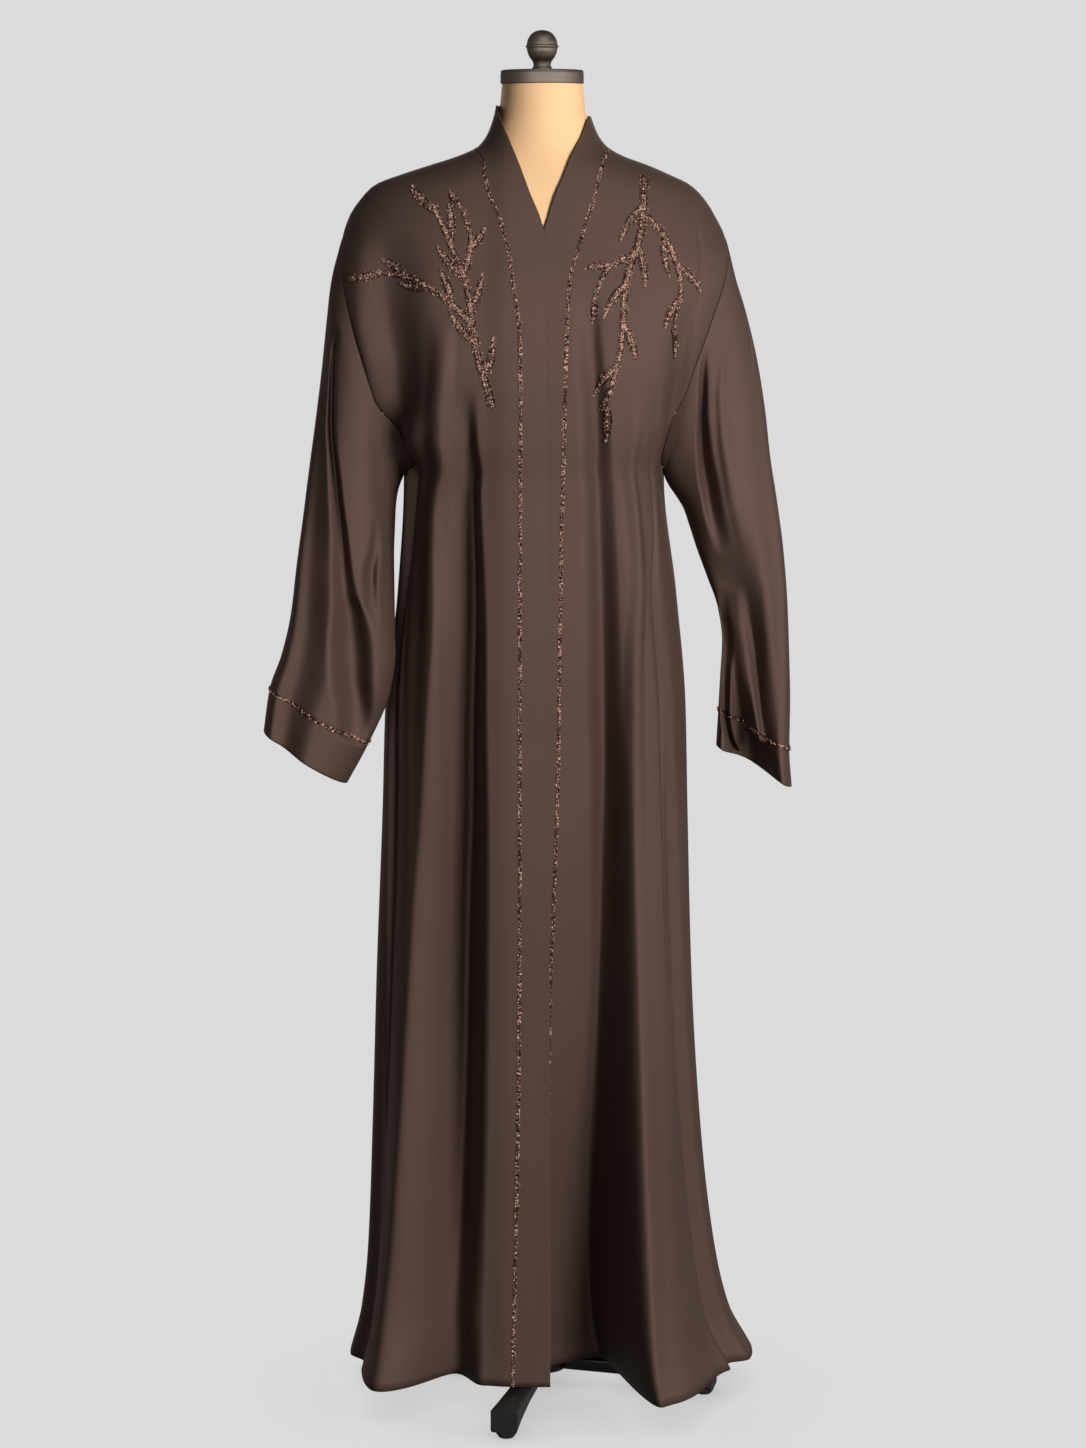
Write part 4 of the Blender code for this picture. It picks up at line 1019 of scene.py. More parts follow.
def leaf_path(root, heading, length, bend, count):
    """Curved leaf line from a root: a straight run bent sideways by a parabola."""
    t = np.linspace(0, 1, count)
    forward = np.array([math.cos(heading), math.sin(heading)])
    aside = np.array([-forward[1], forward[0]])
    return root + length * (t[:, None] * forward + bend * (t ** 2)[:, None] * aside)


def spray(side, name, sizes, seed):
    """All the stems and leaves of one shoulder as one mesh of sequins and beads."""
    draw = np.random.default_rng(seed)
    strokes = []
    for row in STEMS:
        s = dict(zip(STEM_COLUMNS, row))
        if s["side"] != side:
            continue
        path = smooth_path(s["points"], 80)
        t = np.linspace(0, 1, len(path))
        strokes.append((path, s["width"] * (1.0 - 0.45 * t)))
        heading = np.unwrap(np.arctan2(np.gradient(path[:, 1]), np.gradient(path[:, 0])))
        for k in range(s["leaves"]):
            place = s["first_leaf"] + (0.96 - s["first_leaf"]) * k / max(s["leaves"] - 1, 1)
            hand = 1 if k % 2 else -1
            root = np.array([np.interp(place, t, path[:, 0]), np.interp(place, t, path[:, 1])])
            turn = float(np.interp(place, t, heading)) + hand * math.radians(44 - 14 * place)
            length = s["leaf_length"] * (1.0 - 0.25 * place) * draw.uniform(0.9, 1.1)
            leaf = leaf_path(root, turn, length, -hand * LEAF_BEND, 30)
            q = np.linspace(0, 1, 30)
            taper = np.sin(np.pi * np.clip(q * 0.92 + 0.08, 0, 1)) ** 0.7
            strokes.append((leaf, LEAF_WIDTH * taper))
    parts = [stroke(side, path, widths, sizes, draw) for path, widths in strokes]
    centre, axes, tone, spot, frames = (np.concatenate(list(v)) for v in zip(*parts))
    size = drawn_sizes(draw, sizes["sequin"], 0.85, 1.1, len(centre))
    sequins = copies(sequin_shape(), centre, axes, size, tone)
    size = drawn_sizes(draw, sizes["bead"], 0.8, 1.2, len(spot))
    # Tones above one paint the beads as bright glints
    beads = copies(bead_shape(), spot, frames, size, 1.0 + draw.random(len(spot)))
    return joined(name, [sequins, beads])


# ---------------------------------------------------------------- materials

def blank_material(name):
    """New node material with its surface shader."""
    made = bpy.data.materials.new(name)
    made.use_nodes = True
    return made, made.node_tree, made.node_tree.nodes["Principled BSDF"]


def texture_node(tree, kind, scale, source, **settings):
    """Texture node fed by coordinates, with its own scale."""
    node = tree.nodes.new(kind)
    node.inputs["Scale"].default_value = scale
    for name, value in settings.items():
        node.inputs[name].default_value = value
    tree.links.new(source, node.inputs["Vector"])
    return node


def noise(tree, scale, source, detail, **settings):
    """Noise value at a scale and detail."""
    node = texture_node(tree, "ShaderNodeTexNoise", scale, source, Detail=detail, **settings)
    return node.outputs["Fac"]


def object_space(tree):
    """The object's own coordinates."""
    return tree.nodes.new("ShaderNodeTexCoord").outputs["Object"]


def surfaced(tree, shader, base, rough, **settings):
    """Wires base colour and roughness, and sets plain shader inputs by name."""
    tree.links.new(base, shader.inputs["Base Color"])
    tree.links.new(rough, shader.inputs["Roughness"])
    for name, value in settings.items():
        shader.inputs[name.replace("_", " ")].default_value = value


def toned(colour, share):
    """A colour times a share."""
    return tuple(share * v for v in colour)


def ranged(tree, source, low, high, from_low=0.0, from_high=1.0):
    """Map Range node from a source value to low..high."""
    node = tree.nodes.new("ShaderNodeMapRange")
    node.inputs["From Min"].default_value = from_low
    node.inputs["From Max"].default_value = from_high
    node.inputs["To Min"].default_value = low
    node.inputs["To Max"].default_value = high
    tree.links.new(source, node.inputs["Value"])
    return node.outputs["Result"]


def grained(tree, shader, height, strength, distance=0.0001):
    """Bump from a height, let into the surface's normal."""
    node = tree.nodes.new("ShaderNodeBump")
    node.inputs["Strength"].default_value = strength
    node.inputs["Distance"].default_value = distance
    tree.links.new(height, node.inputs["Height"])
    tree.links.new(node.outputs["Normal"], shader.inputs["Normal"])


def summed(tree, first, share, second):
    """Math node: the first source times a share, plus the second source."""
    node = tree.nodes.new("ShaderNodeMath")
    node.operation = "MULTIPLY_ADD"
    tree.links.new(first, node.inputs[0])
    node.inputs[1].default_value = share
    tree.links.new(second, node.inputs[2])
    return node.outputs[0]


def blended(tree, factor, first, second):
    """Mix of two colours by a factor."""
    node = tree.nodes.new("ShaderNodeMix")
    node.data_type = "RGBA"
    tree.links.new(factor, node.inputs["Factor"])
    node.inputs["A"].default_value = (*first, 1.0)
    node.inputs["B"].default_value = (*second, 1.0)
    return node.outputs["Result"]


def satin_material(name, colour, gloss):
    """Satin-backed crepe: matt grain from fine noise, warp ribs along the UV's length,
    slow tone drift, and a soft broad gloss that varies a little."""
    made, tree, shader = blank_material(name)
    spot = tree.nodes.new("ShaderNodeUVMap")
    spot.uv_map = "cloth"
    drift = noise(tree, 5.0, object_space(tree), 2.0, Roughness=0.5)
    yarn = noise(tree, 900.0, spot.outputs["UV"], 1.0, Roughness=0.6)
    ribs = texture_node(tree, "ShaderNodeTexWave", 420.0, spot.outputs["UV"]).outputs["Fac"]
    share = ranged(tree, summed(tree, yarn, 0.35, drift), 0.0, 1.0, 0.35, 1.05)
    surfaced(tree, shader, blended(tree, share, toned(colour, 0.90), toned(colour, 1.10)),
             ranged(tree, drift, 0.64 - 0.22 * gloss, 0.70 - 0.22 * gloss),
             Metallic=0.42, Specular_IOR_Level=0.20)
    grained(tree, shader, summed(tree, ribs, 0.4, yarn), 0.12)
    return made


def sequin_material(name, colour):
    """Copper sequins: the tone attribute picks each one's colour between near-black and bright
    copper, painting shade on the darker ones and glints on the brighter ones; beads above one are painted
    brightest as glints, and fine scuffs vary the gloss."""
    made, tree, shader = blank_material(name)
    tone = tree.nodes.new("ShaderNodeAttribute")
    tone.attribute_name = "tone"
    # Painted glints and shade: low tones give near-black copper for sequins in shade, high tones bright
    # copper for glints
    painted_glint_copper = tuple(min(1.0, v) for v in toned(colour, 2.7))
    share = ranged(tree, tone.outputs["Fac"], 0, 1, 0.0, 1.8)
    scuff = noise(tree, 700.0, object_space(tree), 2.0)
    surfaced(tree, shader, blended(tree, share, toned(colour, 0.06), painted_glint_copper),
             ranged(tree, scuff, 0.18, 0.34), Metallic=0.88, Coat_Weight=0.2)
    return made


def painted_form_material(name, colour):
    """Smooth cream skin of the form: faint mottling and soft gloss."""
    made, tree, shader = blank_material(name)
    space = object_space(tree)
    cloudy, fine = noise(tree, 9.0, space, 3.0), noise(tree, 900.0, space, 2.0)
    surfaced(tree, shader, blended(tree, cloudy, toned(colour, 0.94), colour),
             ranged(tree, fine, 0.46, 0.60), Subsurface_Weight=0.06, Subsurface_Scale=0.01)
    grained(tree, shader, fine, 0.08)
    return made


def brushed_metal_material(name, colour):
    """Brushed nickel: streaks run round the part, from noise stretched across height."""
    made, tree, shader = blank_material(name)
    space = object_space(tree)
    stretch = tree.nodes.new("ShaderNodeMapping")
    stretch.inputs["Scale"].default_value = (6.0, 6.0, 900.0)
    tree.links.new(space, stretch.inputs["Vector"])
    streak = noise(tree, 1.0, stretch.outputs["Vector"], 4.0)
    dull = noise(tree, 60.0, space, 3.0)
    surfaced(tree, shader, blended(tree, streak, toned(colour, 0.80), colour),
             ranged(tree, dull, 0.40, 0.54), Metallic=1.0, Anisotropic=0.4)
    grained(tree, shader, streak, 0.10)
    return made


def black_enamel_material(name, colour, rough):
    """Black enamel or rubber: orange-peel bump and a few paler scuffs."""
    made, tree, shader = blank_material(name)
    space = object_space(tree)
    peel, wear = noise(tree, 260.0, space, 2.0), noise(tree, 38.0, space, 5.0)
    pale = tuple(v + 0.02 for v in colour)
    worn = ranged(tree, wear, 0.0, 1.0, 0.58, 0.72)
    surfaced(tree, shader, blended(tree, worn, colour, pale),
             ranged(tree, wear, rough - 0.05, rough + 0.10))
    grained(tree, shader, peel, 0.15, 0.0002)
    return made


def finished(piece, material, slot, *nodes):
    """Gives a piece its material and body, and hides the solids that it stands for; the slot is not used."""
    piece.data.materials.clear()
    piece.data.materials.append(material)
    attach(piece, "root")
    if nodes:
        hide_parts(*nodes)
    return piece


def kept_material(name, make, *values):
    """A material by name, made once."""
    return bpy.data.materials.get(name) or make(name, *values)


def satin():
    """The cloth's satin finish, from the chosen colour and gloss."""
    look = bpy.context.scene.cloak_look
    return kept_material("brown_satin", satin_material, tuple(look.satin_colour),
                         look.satin_gloss)


def copper():
    """The trims' sequin finish."""
    look = bpy.context.scene.cloak_look
    return kept_material("copper_sequins", sequin_material, tuple(look.sequin_colour))


# ---------------------------------------------------------------- settings

class CloakSizes(bpy.types.PropertyGroup):
    """Sizes of the cloth and its trims"""

    cloth_thickness: bpy.props.FloatProperty(
        name="Cloth Thickness", description="Thickness of the satin shell",
        default=0.0008, min=0.0003, max=0.0015, unit="LENGTH")
    band_thickness: bpy.props.FloatProperty(
        name="Band Thickness", description="Thickness of the doubled front bands and cuffs",
        default=0.0012, min=0.0005, max=0.0015, unit="LENGTH")
    sequin_size: bpy.props.FloatProperty(
        name="Sequin Size", description="Diameter of one sequin",
        default=0.0026, min=0.001, max=0.005, unit="LENGTH")
    bead_size: bpy.props.FloatProperty(
        name="Bead Size", description="Diameter of one bead",
        default=0.0017, min=0.001, max=0.004, unit="LENGTH")
    trim_width: bpy.props.FloatProperty(
        name="Trim Width", description="Width of the sequin trim along the seams",
        default=0.0036, min=0.002, max=0.010, unit="LENGTH")


class CloakLook(bpy.types.PropertyGroup):
    """Colours and gloss of the cloak and its stand"""

    satin_colour: bpy.props.FloatVectorProperty(
        name="Satin Colour", description="Base colour of the cloth",
        default=(0.108, 0.066, 0.052), min=0.0, max=1.0, subtype="COLOR")
    satin_gloss: bpy.props.FloatProperty(
        name="Satin Gloss", description="How glossy the cloth is",
        default=0.5, min=0.0, max=1.0, subtype="FACTOR")
    sequin_colour: bpy.props.FloatVectorProperty(
        name="Sequin Colour", description="Middle colour of the sequins and beads",
        default=(0.40, 0.21, 0.155), min=0.0, max=1.0, subtype="COLOR")
    form_colour: bpy.props.FloatVectorProperty(
        name="Form Colour", description="Colour of the dress form's skin",
        default=(0.93, 0.575, 0.30), min=0.0, max=1.0, subtype="COLOR")
    metal_colour: bpy.props.FloatVectorProperty(
        name="Metal Colour", description="Colour of the neck cap and knob",
        default=(0.27, 0.22, 0.182), min=0.0, max=1.0, subtype="COLOR")
    stand_colour: bpy.props.FloatVectorProperty(
        name="Stand Colour", description="Colour of the pole and legs",
        default=(0.018, 0.018, 0.019), min=0.0, max=1.0, subtype="COLOR")
    backdrop_tone: bpy.props.FloatProperty(
        name="Backdrop Tone", description="Brightness of the plain backdrop and floor",
        default=0.71, min=0.0, max=1.0, subtype="FACTOR")
    light_level: bpy.props.FloatProperty(
        name="Light Level", description="Strength of all the studio lights together",
        default=1.0, min=0.0, max=4.0)


# ---------------------------------------------------------------- operators

def edge_shares(count, length, close=(0.0012, 0.0035)):
    """Even shares with extra ones close to both ends, so that seams can dip."""
    near = np.array(close) / length
    middle = np.linspace(0, 1, count + 1)
    inner = middle[(middle > near[-1] * 1.6) & (middle < 1 - near[-1] * 1.6)]
    return np.concatenate([[0.0], near, inner, 1 - near[::-1], [1.0]])


def seam_dip(grid, normals, deep=0.0004, reach=0.003):
    """Cloth drawn in at its long edges: sinks by a depth that fades over a reach."""
    run = run_of(grid, 1)
    near = np.minimum(run, run[:, -1:] - run)
    return grid - normals * (deep * (1 - ease(near / reach)))[..., None]


def body_strip(side, heights, start, stop):
    """Dense rows of body points between two lines of loop angles."""
    share = np.linspace(0, 1, DENSE_COLUMNS)[None]
    angle = start[:, None] + (stop - start)[:, None] * share
    return body_at(side, heights[:, None], angle)


def trim_sizes(sizes):
    """Sizes of the sequins, beads and trims from the settings."""
    return {"sequin": sizes.sequin_size, "bead": sizes.bead_size, "width": sizes.trim_width}


def cuff_start(side):
    """Share of the sleeve at which its cuff starts."""
    last = len(sleeve_rings(side)[0]) - 1
    return (last - CUFF_RING_FROM_END) / last


class CLOAK_OT_front_panels(bpy.types.Operator):
    """Build the two front panels and their sequin sprays"""

    bl_idname = "cloak.front_panels"
    bl_label = "Front Panels"

    def execute(self, context):
        sizes = context.scene.cloak_sizes
        trim = trim_sizes(sizes)
        heights = body_heights(FRONT_ROWS)
        for side, arm in SIDES:
            dense = body_strip(side, heights, seam_angle(side, heights),
                               side_angle(side, heights))
            grid = spaced_rows(dense, edge_shares(FRONT_COLUMNS, FRONT_WIDTH), SEAM_GAP / 2)
            normals = slope_normals(grid) * side
            grid = seam_dip(grid, normals)
            panel = shell(f"front_panel_{arm}_satin", grid, normals, sizes.cloth_thickness)
            finished(panel, satin(), "abaya_cloth", f"front_panel_{arm}")
            work = spray(side, f"sequin_spray_{arm}", trim, SPRAY_SEED + side)
            finished(work, copper(), "abaya_cloth")
        return {"FINISHED"}


class CLOAK_OT_back_panel(bpy.types.Operator):
    """Build the back panel"""

    bl_idname = "cloak.back_panel"
    bl_label = "Back Panel"

    def execute(self, context):
        sizes = context.scene.cloak_sizes
        heights = body_heights(BACK_ROWS, NECK_SEAM_Z - SEAM_GAP)
        near, far = (body_strip(side, heights, np.pi - side_angle(side, heights), np.pi)
                     for side in (LEFT, RIGHT))
        dense = np.concatenate([near, far[:, -2::-1]], axis=1)
        grid = spaced_rows(dense, edge_shares(BACK_COLUMNS, BACK_WIDTH), SEAM_GAP / 2)
        normals = slope_normals(grid) * -1
        grid = seam_dip(grid, normals)
        panel = shell("back_panel_satin", grid, normals, sizes.cloth_thickness)
        finished(panel, satin(), "abaya_cloth", "back_panel")
        return {"FINISHED"}


class CLOAK_OT_sleeves(bpy.types.Operator):
    """Build the two sleeves"""

    bl_idname = "cloak.sleeves"
    bl_label = "Sleeves"

    def execute(self, context):
        sizes = context.scene.cloak_sizes
        for side, arm in SIDES:
            stations = np.concatenate([SLEEVE_FIRST_ROWS,
                                       np.linspace(0.014, cuff_start(side), 127)])
            grid, normals = sleeve_cloth(side, stations)
            grid[0] += unit(grid[1] - grid[0]) * SEAM_GAP
            piece = shell(f"sleeve_{arm}_satin", grid, normals, sizes.cloth_thickness, True)
            finished(piece, satin(), "abaya_cloth", f"sleeve_{arm}")
        return {"FINISHED"}


class CLOAK_OT_cuffs(bpy.types.Operator):
    """Build the two cuffs and the sequin trim on their seams"""

    bl_idname = "cloak.cuffs"
    bl_label = "Cuffs"

    def execute(self, context):
        sizes = context.scene.cloak_sizes
        trim = trim_sizes(sizes)
        for side, arm in SIDES:
            stations = np.linspace(cuff_start(side), 1, 20)
            grid, normals = sleeve_cloth(side, stations)
            seam, outward = grid[0].copy(), normals[0].copy()
            grid[0] += unit(grid[1] - grid[0]) * SEAM_GAP
            piece = shell(f"cuff_{arm}_satin", grid, normals, sizes.band_thickness, True)
            finished(piece, satin(), "abaya_cloth", f"cuff_{arm}")
            path = np.concatenate([seam, seam[:1]])
            faced = np.concatenate([outward, outward[:1]])
            line = trim_line(f"cuff_trim_{arm}", path, faced, trim, CUFF_TRIM_SEED + side, True)
            finished(line, copper(), "abaya_cloth")
        return {"FINISHED"}


def band_lines(side):
    """Seam and free edge of a band, as angles and heights, from centre back to hem."""
    table = band_table(side)
    neck_z = NECK_EDGE_LEFT_Z if side == LEFT else NECK_EDGE_RIGHT_Z
    at = np.linspace(np.pi, np.pi / 2, BAND_NECK_ROWS)
    rise = (at - np.pi / 2) / (np.pi / 2)
    neck = np.stack([at, np.full(BAND_NECK_ROWS, NECK_SEAM_Z), at,
                     neck_z + (NECK_EDGE_BACK_Z - neck_z) * ease(rise)], 1)
    zs = column(table, BAND_TABLE_COLUMNS, "seam_z")
    z = body_heights(BAND_FRONT_ROWS)[::-1]
    edge_x = smooth(z, zs, column(table, BAND_TABLE_COLUMNS, "edge_x"))
    edge_z = smooth(z, zs, column(table, BAND_TABLE_COLUMNS, "edge_z"))
    front = np.stack([seam_angle(side, z), z, loop_angle(side, edge_z, edge_x), edge_z], 1)
    return np.concatenate([neck, front])


class CLOAK_OT_bands(bpy.types.Operator):
    """Build the neck and front bands, and the sequin trim on their seams"""

    bl_idname = "cloak.bands"
    bl_label = "Front Bands"

    def execute(self, context):
        sizes = context.scene.cloak_sizes
        trim = trim_sizes(sizes)
        for side, arm in SIDES:
            lines = band_lines(side)
            share = np.linspace(0, 1, 13)[None, :]
            z = lines[:, 1:2] + (lines[:, 3:4] - lines[:, 1:2]) * share
            at = lines[:, 0:1] + (lines[:, 2:3] - lines[:, 0:1]) * share
            shares = edge_shares(10, BAND_WIDTH, (0.0010,))
            grid = spaced_rows(body_at(side, z, at), shares, SEAM_GAP / 2)
            true = body_normals(side, z, at)
            normals = slope_normals(grid)
            middle = len(share[0]) // 2
            facing = (normals[:, len(normals[0]) // 2] * true[:, middle]).sum(-1)
            normals = normals * np.sign(np.median(facing))
            piece = shell(f"front_band_{arm}_satin", grid, normals, sizes.band_thickness)
            finished(piece, satin(), "abaya_cloth", f"front_band_{arm}")
            seam, outward = grid[:, 0], normals[:, 0]
            first = TRIM_FIRST[side]
            keep = np.flatnonzero((lines[:, 1] < first) & (np.arange(len(lines)) > BAND_NECK_ROWS))
            line = trim_line(f"band_trim_{arm}", seam[keep], outward[keep], trim,
                             BAND_TRIM_SEED + side)
            finished(line, copper(), "abaya_cloth")
        return {"FINISHED"}


def form_rings(count):
    """Loops of the dress form: own loops below, and the cloth's loops moved in above."""
    rows = list(FORM_LOWER)
    for row in SECTIONS:
        r = dict(zip(SECTION_COLUMNS, row))
        if r["height"] > FORM_TOP_FROM_Z:
            rows.append((r["height"] - FORM_DROP, r["left"] - FORM_CLEARANCE,
                         r["right"] - FORM_CLEARANCE, r["front"] - FORM_CLEARANCE,
                         r["back"] - FORM_CLEARANCE, r["power"]))
    heights = column(rows, SECTION_COLUMNS, "height")
    z = np.concatenate([np.linspace(heights[0], 1.39, 50),
                        np.linspace(1.392, FORM_TOP_Z, 60)])[:, None]
    turn = np.linspace(0, 2 * np.pi, count, endpoint=False)[None, :]
    s, c = np.sin(turn), np.cos(turn)
    left, right, front, back, power = (
        smooth(z, heights, column(rows, SECTION_COLUMNS, n)) for n in SECTION_COLUMNS[1:])
    x = np.where(s > 0, right, left) * np.sign(s) * np.abs(s) ** (2 / power)
    y = np.where(c > 0, -front, back) * np.abs(c) ** (2 / power)
    return np.stack([x, y, np.broadcast_to(z, x.shape)], -1)


class CLOAK_OT_dress_form(bpy.types.Operator):
    """Build the limbless form's smooth skin"""

    bl_idname = "cloak.dress_form"
    bl_label = "Dress Form"

    def execute(self, context):
        look = context.scene.cloak_look
        piece = loft("form_skin_smooth", form_rings(120))
        skin = kept_material("cream_skin", painted_form_material, tuple(look.form_colour))
        finished(piece, skin, "form_skin", "form_body")
        return {"FINISHED"}


class CLOAK_OT_cap_and_knob(bpy.types.Operator):
    """Build the metal neck cap and its ball knob"""

    bl_idname = "cloak.cap_and_knob"
    bl_label = "Cap and Knob"

    def execute(self, context):
        look = context.scene.cloak_look
        metal = kept_material("brushed_nickel", brushed_metal_material,
                              tuple(look.metal_colour))
        e = CAP_EDGE
        profile = [(CAP_RADIUS - e, CAP_BASE_Z), (CAP_RADIUS, CAP_BASE_Z + e),
                   (CAP_RADIUS, CAP_TOP_Z - 0.0032), (CAP_RADIUS - 0.0007, CAP_TOP_Z - 0.0030),
                   (CAP_RADIUS - 0.0007, CAP_TOP_Z - 0.0024), (CAP_RADIUS, CAP_TOP_Z - 0.0022),
                   (CAP_RADIUS - 0.0006, CAP_TOP_Z - 0.0007), (CAP_RADIUS - 0.0024, CAP_TOP_Z),
                   (0.0150, CAP_TOP_Z)]
        cap = loft("neck_cap_brushed", turned_rings(softened(profile, 5), 96, KNOB_X))
        finished(cap, metal, "neck_metal", "neck_cap")
        knob = loft("neck_knob_brushed",
                    turned_rings(smooth_path(KNOB_PROFILE[:-1], 110), 64, KNOB_X))
        finished(knob, metal, "neck_metal", "neck_knob")
        return {"FINISHED"}


def leg_rings(angle, steps):
    """Leg sections: a rounded box carried from the hub to the foot, its half width and
    its low and high edges smooth curves of the reach."""
    reach = column(LEG, LEG_COLUMNS, "reach")
    at = np.linspace(reach[0], reach[-1], steps)[:, None]
    w, low, high = (smooth(at, reach, column(LEG, LEG_COLUMNS, n)) for n in LEG_COLUMNS[1:])
    turn = np.linspace(0, 2 * np.pi, 48, endpoint=False)[None, :]
    k = LEG_CHAMFER
    cx, cz = np.sign(np.cos(turn)), np.sign(np.sin(turn))
    aside = cx * (w - k) + k * np.cos(turn)
    up = (low + high) / 2 + cz * ((high - low) / 2 - k) + k * np.sin(turn)
    out = np.array([math.cos(angle), math.sin(angle), 0.0])
    side = np.array([-math.sin(angle), math.cos(angle), 0.0])
    return (at[..., None] * out + aside[..., None] * side
            + up[..., None] * np.array([0.0, 0.0, 1.0]))


class CLOAK_OT_stand(bpy.types.Operator):
    """Build the pole, hub, legs and floor pads"""

    bl_idname = "cloak.stand"
    bl_label = "Stand"

    def execute(self, context):
        look = context.scene.cloak_look
        black = tuple(look.stand_colour)
        enamel = kept_material("black_enamel", black_enamel_material, black, 0.30)
        rubber = kept_material("black_rubber", black_enamel_material, black, 0.75)
        top = FORM_LOWER[0][0] - PART_GAP
        pole = loft("stand_pole_enamel", turned_rings(
            [(POLE_RADIUS, HUB_TOP_Z + PART_GAP), (POLE_RADIUS, 0.4), (POLE_RADIUS, top)], 64))
        finished(pole, enamel, "stand_black", "stand_pole")
        hub = loft("stand_hub_enamel", turned_rings(softened(
            [(HUB_RADIUS - 0.001, HUB_BASE_Z), (HUB_RADIUS, HUB_BASE_Z + 0.001),
             (HUB_RADIUS, HUB_TOP_Z - 0.004), (HUB_RADIUS - 0.004, HUB_TOP_Z),
             (POLE_RADIUS, HUB_TOP_Z)], 4), 72))
        finished(hub, enamel, "stand_black", "stand_hub")
        for k in range(LEG_COUNT):
            angle = LEG_FIRST_ANGLE + 2 * math.pi * k / LEG_COUNT
            leg = loft(f"stand_leg_{k + 1}_enamel", leg_rings(angle, 40))
            finished(leg, enamel, "stand_black", f"stand_leg_{k + 1}")
            profile = softened([(PAD_FOOT_RADIUS - 0.001, 0.0), (PAD_FOOT_RADIUS, 0.0003),
                                (PAD_TOP_RADIUS, 0.0050), (PAD_TOP_RADIUS, PAD_TOP_Z - 0.0006),
                                (PAD_TOP_RADIUS - 0.0006, PAD_TOP_Z)], 4)
            pad = loft(f"stand_pad_{k + 1}_rubber", turned_rings(
                profile, 40, PAD_REACH * math.cos(angle), PAD_REACH * math.sin(angle)))
            finished(pad, rubber, "pad_rubber", f"stand_pad_{k + 1}")
        return {"FINISHED"}


# Lights: turn to the viewer's right of the camera and height angle in degrees,
# distance and size in metres, power in watts, and whether gloss alone shows them
LIGHT_COLUMNS = ("name", "turn", "rise", "distance", "wide", "high", "power", "mirrored")
LIGHTS = (
    ("key", 34.0, 15.0, 3.6, 1.1, 1.7, 160.0, False),
    ("back_right", 165.0, 24.0, 3.6, 1.6, 1.8, 95.0, False),
    ("back_left", -132.0, 8.0, 3.6, 1.2, 1.8, 45.0, False),
    ("box_left", -22.0, 6.0, 3.4, 2.3, 2.4, 26.0, True),
    ("box_middle", 16.0, 6.0, 3.4, 2.3, 2.4, 26.0, True),
    ("box_right", 54.0, 6.0, 3.4, 2.3, 2.4, 24.0, True),
    ("box_side", 90.0, 6.0, 3.4, 2.0, 2.4, 14.0, True),
    ("box_above", 20.0, 52.0, 3.2, 2.6, 1.6, 19.0, True),
    ("box_behind", 178.0, 10.0, 3.4, 2.6, 2.0, 18.0, True),
    ("strip_bright", 44.0, 6.0, 3.2, 0.25, 1.8, 6.0, True),
)


def soft_light(row, share):
    """Area light aimed at the middle of the cloak from its turn and rise."""
    v = dict(zip(LIGHT_COLUMNS, row))
    light = bpy.data.lights.new(v["name"], "AREA")
    light.shape = "RECTANGLE"
    light.size, light.size_y = v["wide"], v["high"]
    light.energy = v["power"] * share
    made = bpy.data.objects.new(v["name"], light)
    bpy.context.scene.collection.objects.link(made)
    a, e = math.radians(v["turn"]), math.radians(v["rise"])
    aim = np.array([POLE_X, 0.0, 0.95])
    away = np.array([math.sin(a) * math.cos(e), -math.cos(a) * math.cos(e), math.sin(e)])
    made.location = aim + away * v["distance"]
    made.rotation_euler = (math.pi / 2 - e, 0.0, a)
    made.visible_glossy = v["mirrored"]
    made.visible_diffuse = not v["mirrored"]
    return made


def floor_material(tone):
    """Pale floor: a glow at the backdrop's own tone, with painted shadow that dims it softly close to
    what stands on it, and cleared away towards its edge so that no horizon shows."""
    made = bpy.data.materials.new("pale_floor")
    made.use_nodes = True
    tree = made.node_tree
    tree.nodes.clear()
    out = tree.nodes.new("ShaderNodeOutputMaterial")
    mix = tree.nodes.new("ShaderNodeMixShader")
    clear = tree.nodes.new("ShaderNodeBsdfTransparent")
    glow = tree.nodes.new("ShaderNodeEmission")
    # Painted shadow: ambient occlusion sets how far the floor's glow is dimmed near the cloak and stand
    near = tree.nodes.new("ShaderNodeAmbientOcclusion")
    near.samples = 12
    near.inputs["Distance"].default_value = 0.16
    level = ranged(tree, near.outputs["AO"], 0.66 * tone, tone, 0.0, 0.94)
    tree.links.new(level, glow.inputs["Strength"])
    space = tree.nodes.new("ShaderNodeTexCoord")
    reach = tree.nodes.new("ShaderNodeVectorMath")
    reach.operation = "LENGTH"
    tree.links.new(space.outputs["Object"], reach.inputs[0])
    fade = ranged(tree, reach.outputs["Value"], 0.0, 1.0, 1.0, 2.6)
    tree.links.new(fade, mix.inputs["Fac"])
    tree.links.new(glow.outputs["Emission"], mix.inputs[1])
    tree.links.new(clear.outputs["BSDF"], mix.inputs[2])
    tree.links.new(mix.outputs["Shader"], out.inputs["Surface"])
    return made


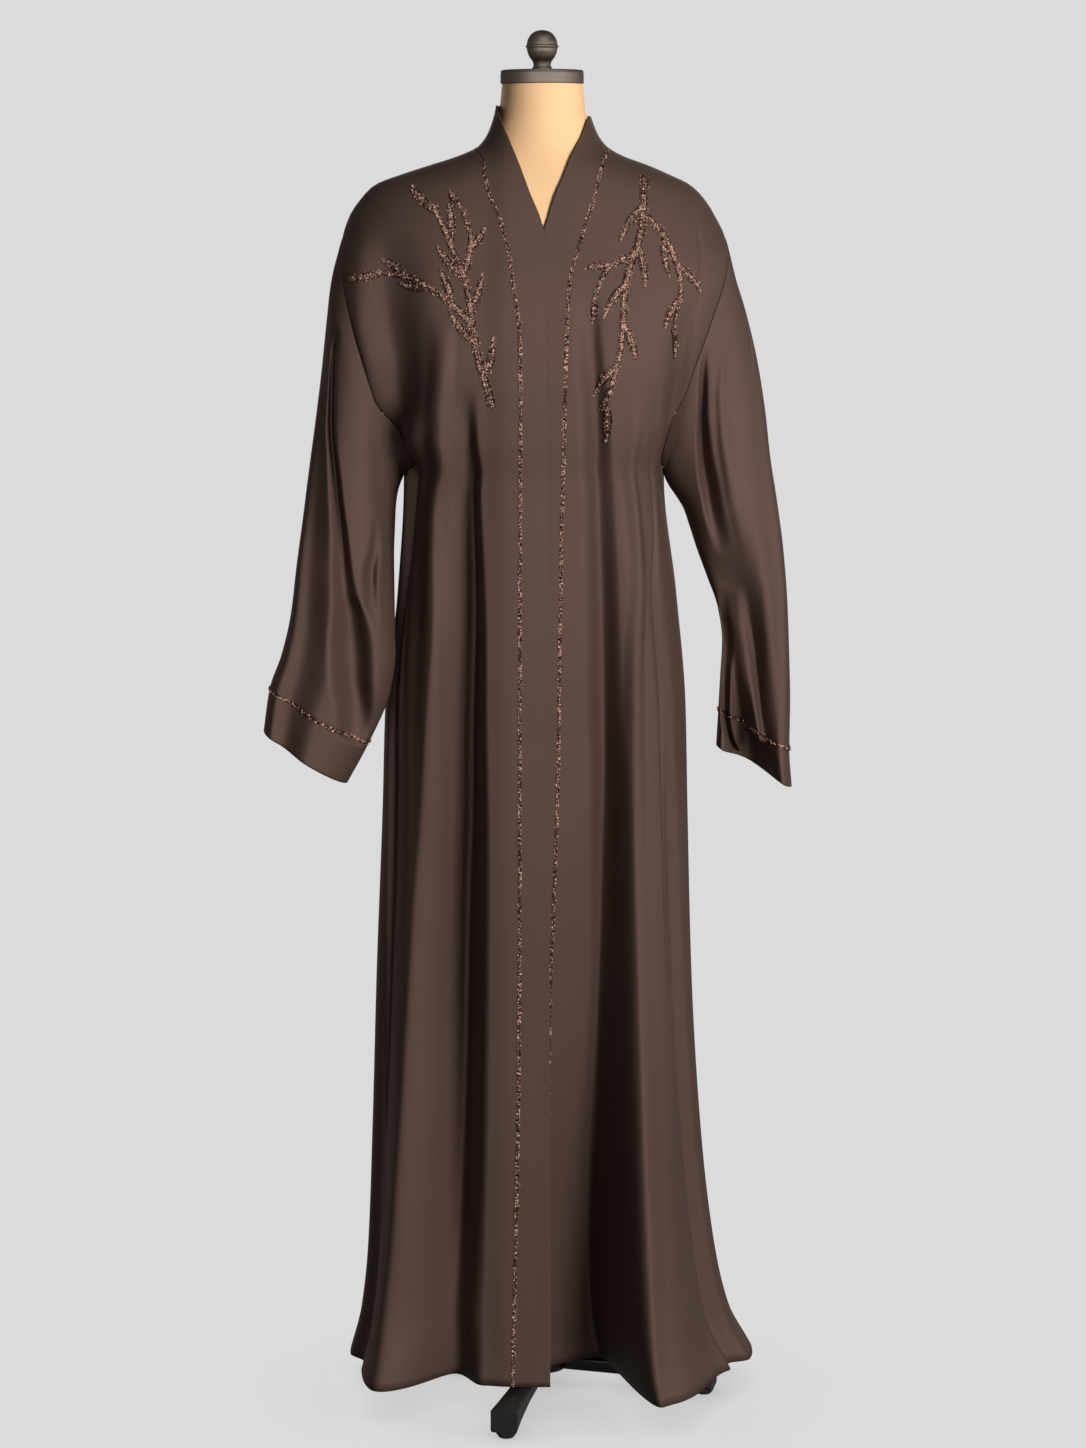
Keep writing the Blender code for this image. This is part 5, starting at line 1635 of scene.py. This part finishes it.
class CLOAK_OT_studio(bpy.types.Operator):
    """Set the camera, the lights, the pale floor and the backdrop"""

    bl_idname = "cloak.studio"
    bl_label = "Studio"

    def execute(self, context):
        look = context.scene.cloak_look
        scene = context.scene
        scene.view_settings.view_transform = "Standard"
        eye = bpy.data.cameras.new("eye")
        eye.sensor_fit = "VERTICAL"
        eye.sensor_height = 36.0
        eye.sensor_width = 36.0
        eye.lens = EYE_LENS
        camera = bpy.data.objects.new("eye", eye)
        scene.collection.objects.link(camera)
        camera.location = (POLE_X, -EYE_DISTANCE, EYE_Z)
        camera.rotation_euler = (math.radians(90 - EYE_PITCH), 0.0, 0.0)
        scene.camera = camera
        for row in LIGHTS:
            soft_light(row, look.light_level)
        world = bpy.data.worlds.new("studio_air")
        scene.world = world
        world.use_nodes = True
        tree = world.node_tree
        tree.nodes.clear()
        out = tree.nodes.new("ShaderNodeOutputWorld")
        mix = tree.nodes.new("ShaderNodeMixShader")
        seen, lit = [tree.nodes.new("ShaderNodeBackground") for _ in range(2)]
        for node in (seen, lit):
            node.inputs["Color"].default_value = (1.0, 1.0, 1.0, 1.0)
        seen.inputs["Strength"].default_value = look.backdrop_tone
        path = tree.nodes.new("ShaderNodeLightPath")
        level = ranged(tree, path.outputs["Is Glossy Ray"], 0.012, 0.11)
        tree.links.new(level, lit.inputs["Strength"])
        tree.links.new(path.outputs["Is Camera Ray"], mix.inputs["Fac"])
        tree.links.new(lit.outputs["Background"], mix.inputs[1])
        tree.links.new(seen.outputs["Background"], mix.inputs[2])
        tree.links.new(mix.outputs["Shader"], out.inputs["Surface"])
        turn = np.linspace(0, 2 * np.pi, 64, endpoint=False)
        radius = np.array([0.0001, 0.5, 1.0, 1.6, 2.2, 2.8])[:, None]
        ring = np.stack([radius * np.cos(turn), radius * np.sin(turn), 0 * radius * turn], -1)
        number = np.arange(radius.size * turn.size).reshape(-1, turn.size)
        number = np.concatenate([number, number[:, :1]], 1)
        faces = np.stack([number[:-1, :-1], number[1:, :-1], number[1:, 1:], number[:-1, 1:]], -1)
        floor = mesh_piece("pale_floor", ring.reshape(-1, 3), faces.reshape(-1, 4))
        floor.data.materials.append(floor_material(look.backdrop_tone))
        floor.visible_diffuse = False
        floor.visible_glossy = False
        return {"FINISHED"}


class CLOAK_PT_sidebar(bpy.types.Panel):
    """Lists the cloak's pieces and settings"""

    bl_idname = "CLOAK_PT_sidebar"
    bl_label = "Cloak"
    bl_space_type = "VIEW_3D"
    bl_region_type = "UI"
    bl_category = "Cloak"

    def draw(self, context):
        layout = self.layout
        for group in (context.scene.cloak_sizes, context.scene.cloak_look):
            box = layout.box()
            for name in group.__annotations__:
                box.prop(group, name)
        for maker in MAKERS:
            layout.operator(maker.bl_idname)


MAKERS = (CLOAK_OT_studio, CLOAK_OT_dress_form, CLOAK_OT_cap_and_knob, CLOAK_OT_stand,
          CLOAK_OT_front_panels, CLOAK_OT_back_panel, CLOAK_OT_sleeves, CLOAK_OT_cuffs,
          CLOAK_OT_bands)
CLASSES = (CloakSizes, CloakLook, *MAKERS, CLOAK_PT_sidebar)


def register():
    """Register the settings, operators and panel."""
    for made in CLASSES:
        bpy.utils.register_class(made)
    bpy.types.Scene.cloak_sizes = bpy.props.PointerProperty(type=CloakSizes)
    bpy.types.Scene.cloak_look = bpy.props.PointerProperty(type=CloakLook)


def unregister():
    """Take the settings, operators and panel away again."""
    del bpy.types.Scene.cloak_look
    del bpy.types.Scene.cloak_sizes
    for made in reversed(CLASSES):
        bpy.utils.unregister_class(made)


def main():
    """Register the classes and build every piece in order."""
    register()
    bpy.ops.cloak.studio()
    bpy.ops.cloak.dress_form()
    bpy.ops.cloak.cap_and_knob()
    bpy.ops.cloak.stand()
    bpy.ops.cloak.front_panels()
    bpy.ops.cloak.back_panel()
    bpy.ops.cloak.sleeves()
    bpy.ops.cloak.cuffs()
    bpy.ops.cloak.bands()


if __name__ == "__main__":
    main()
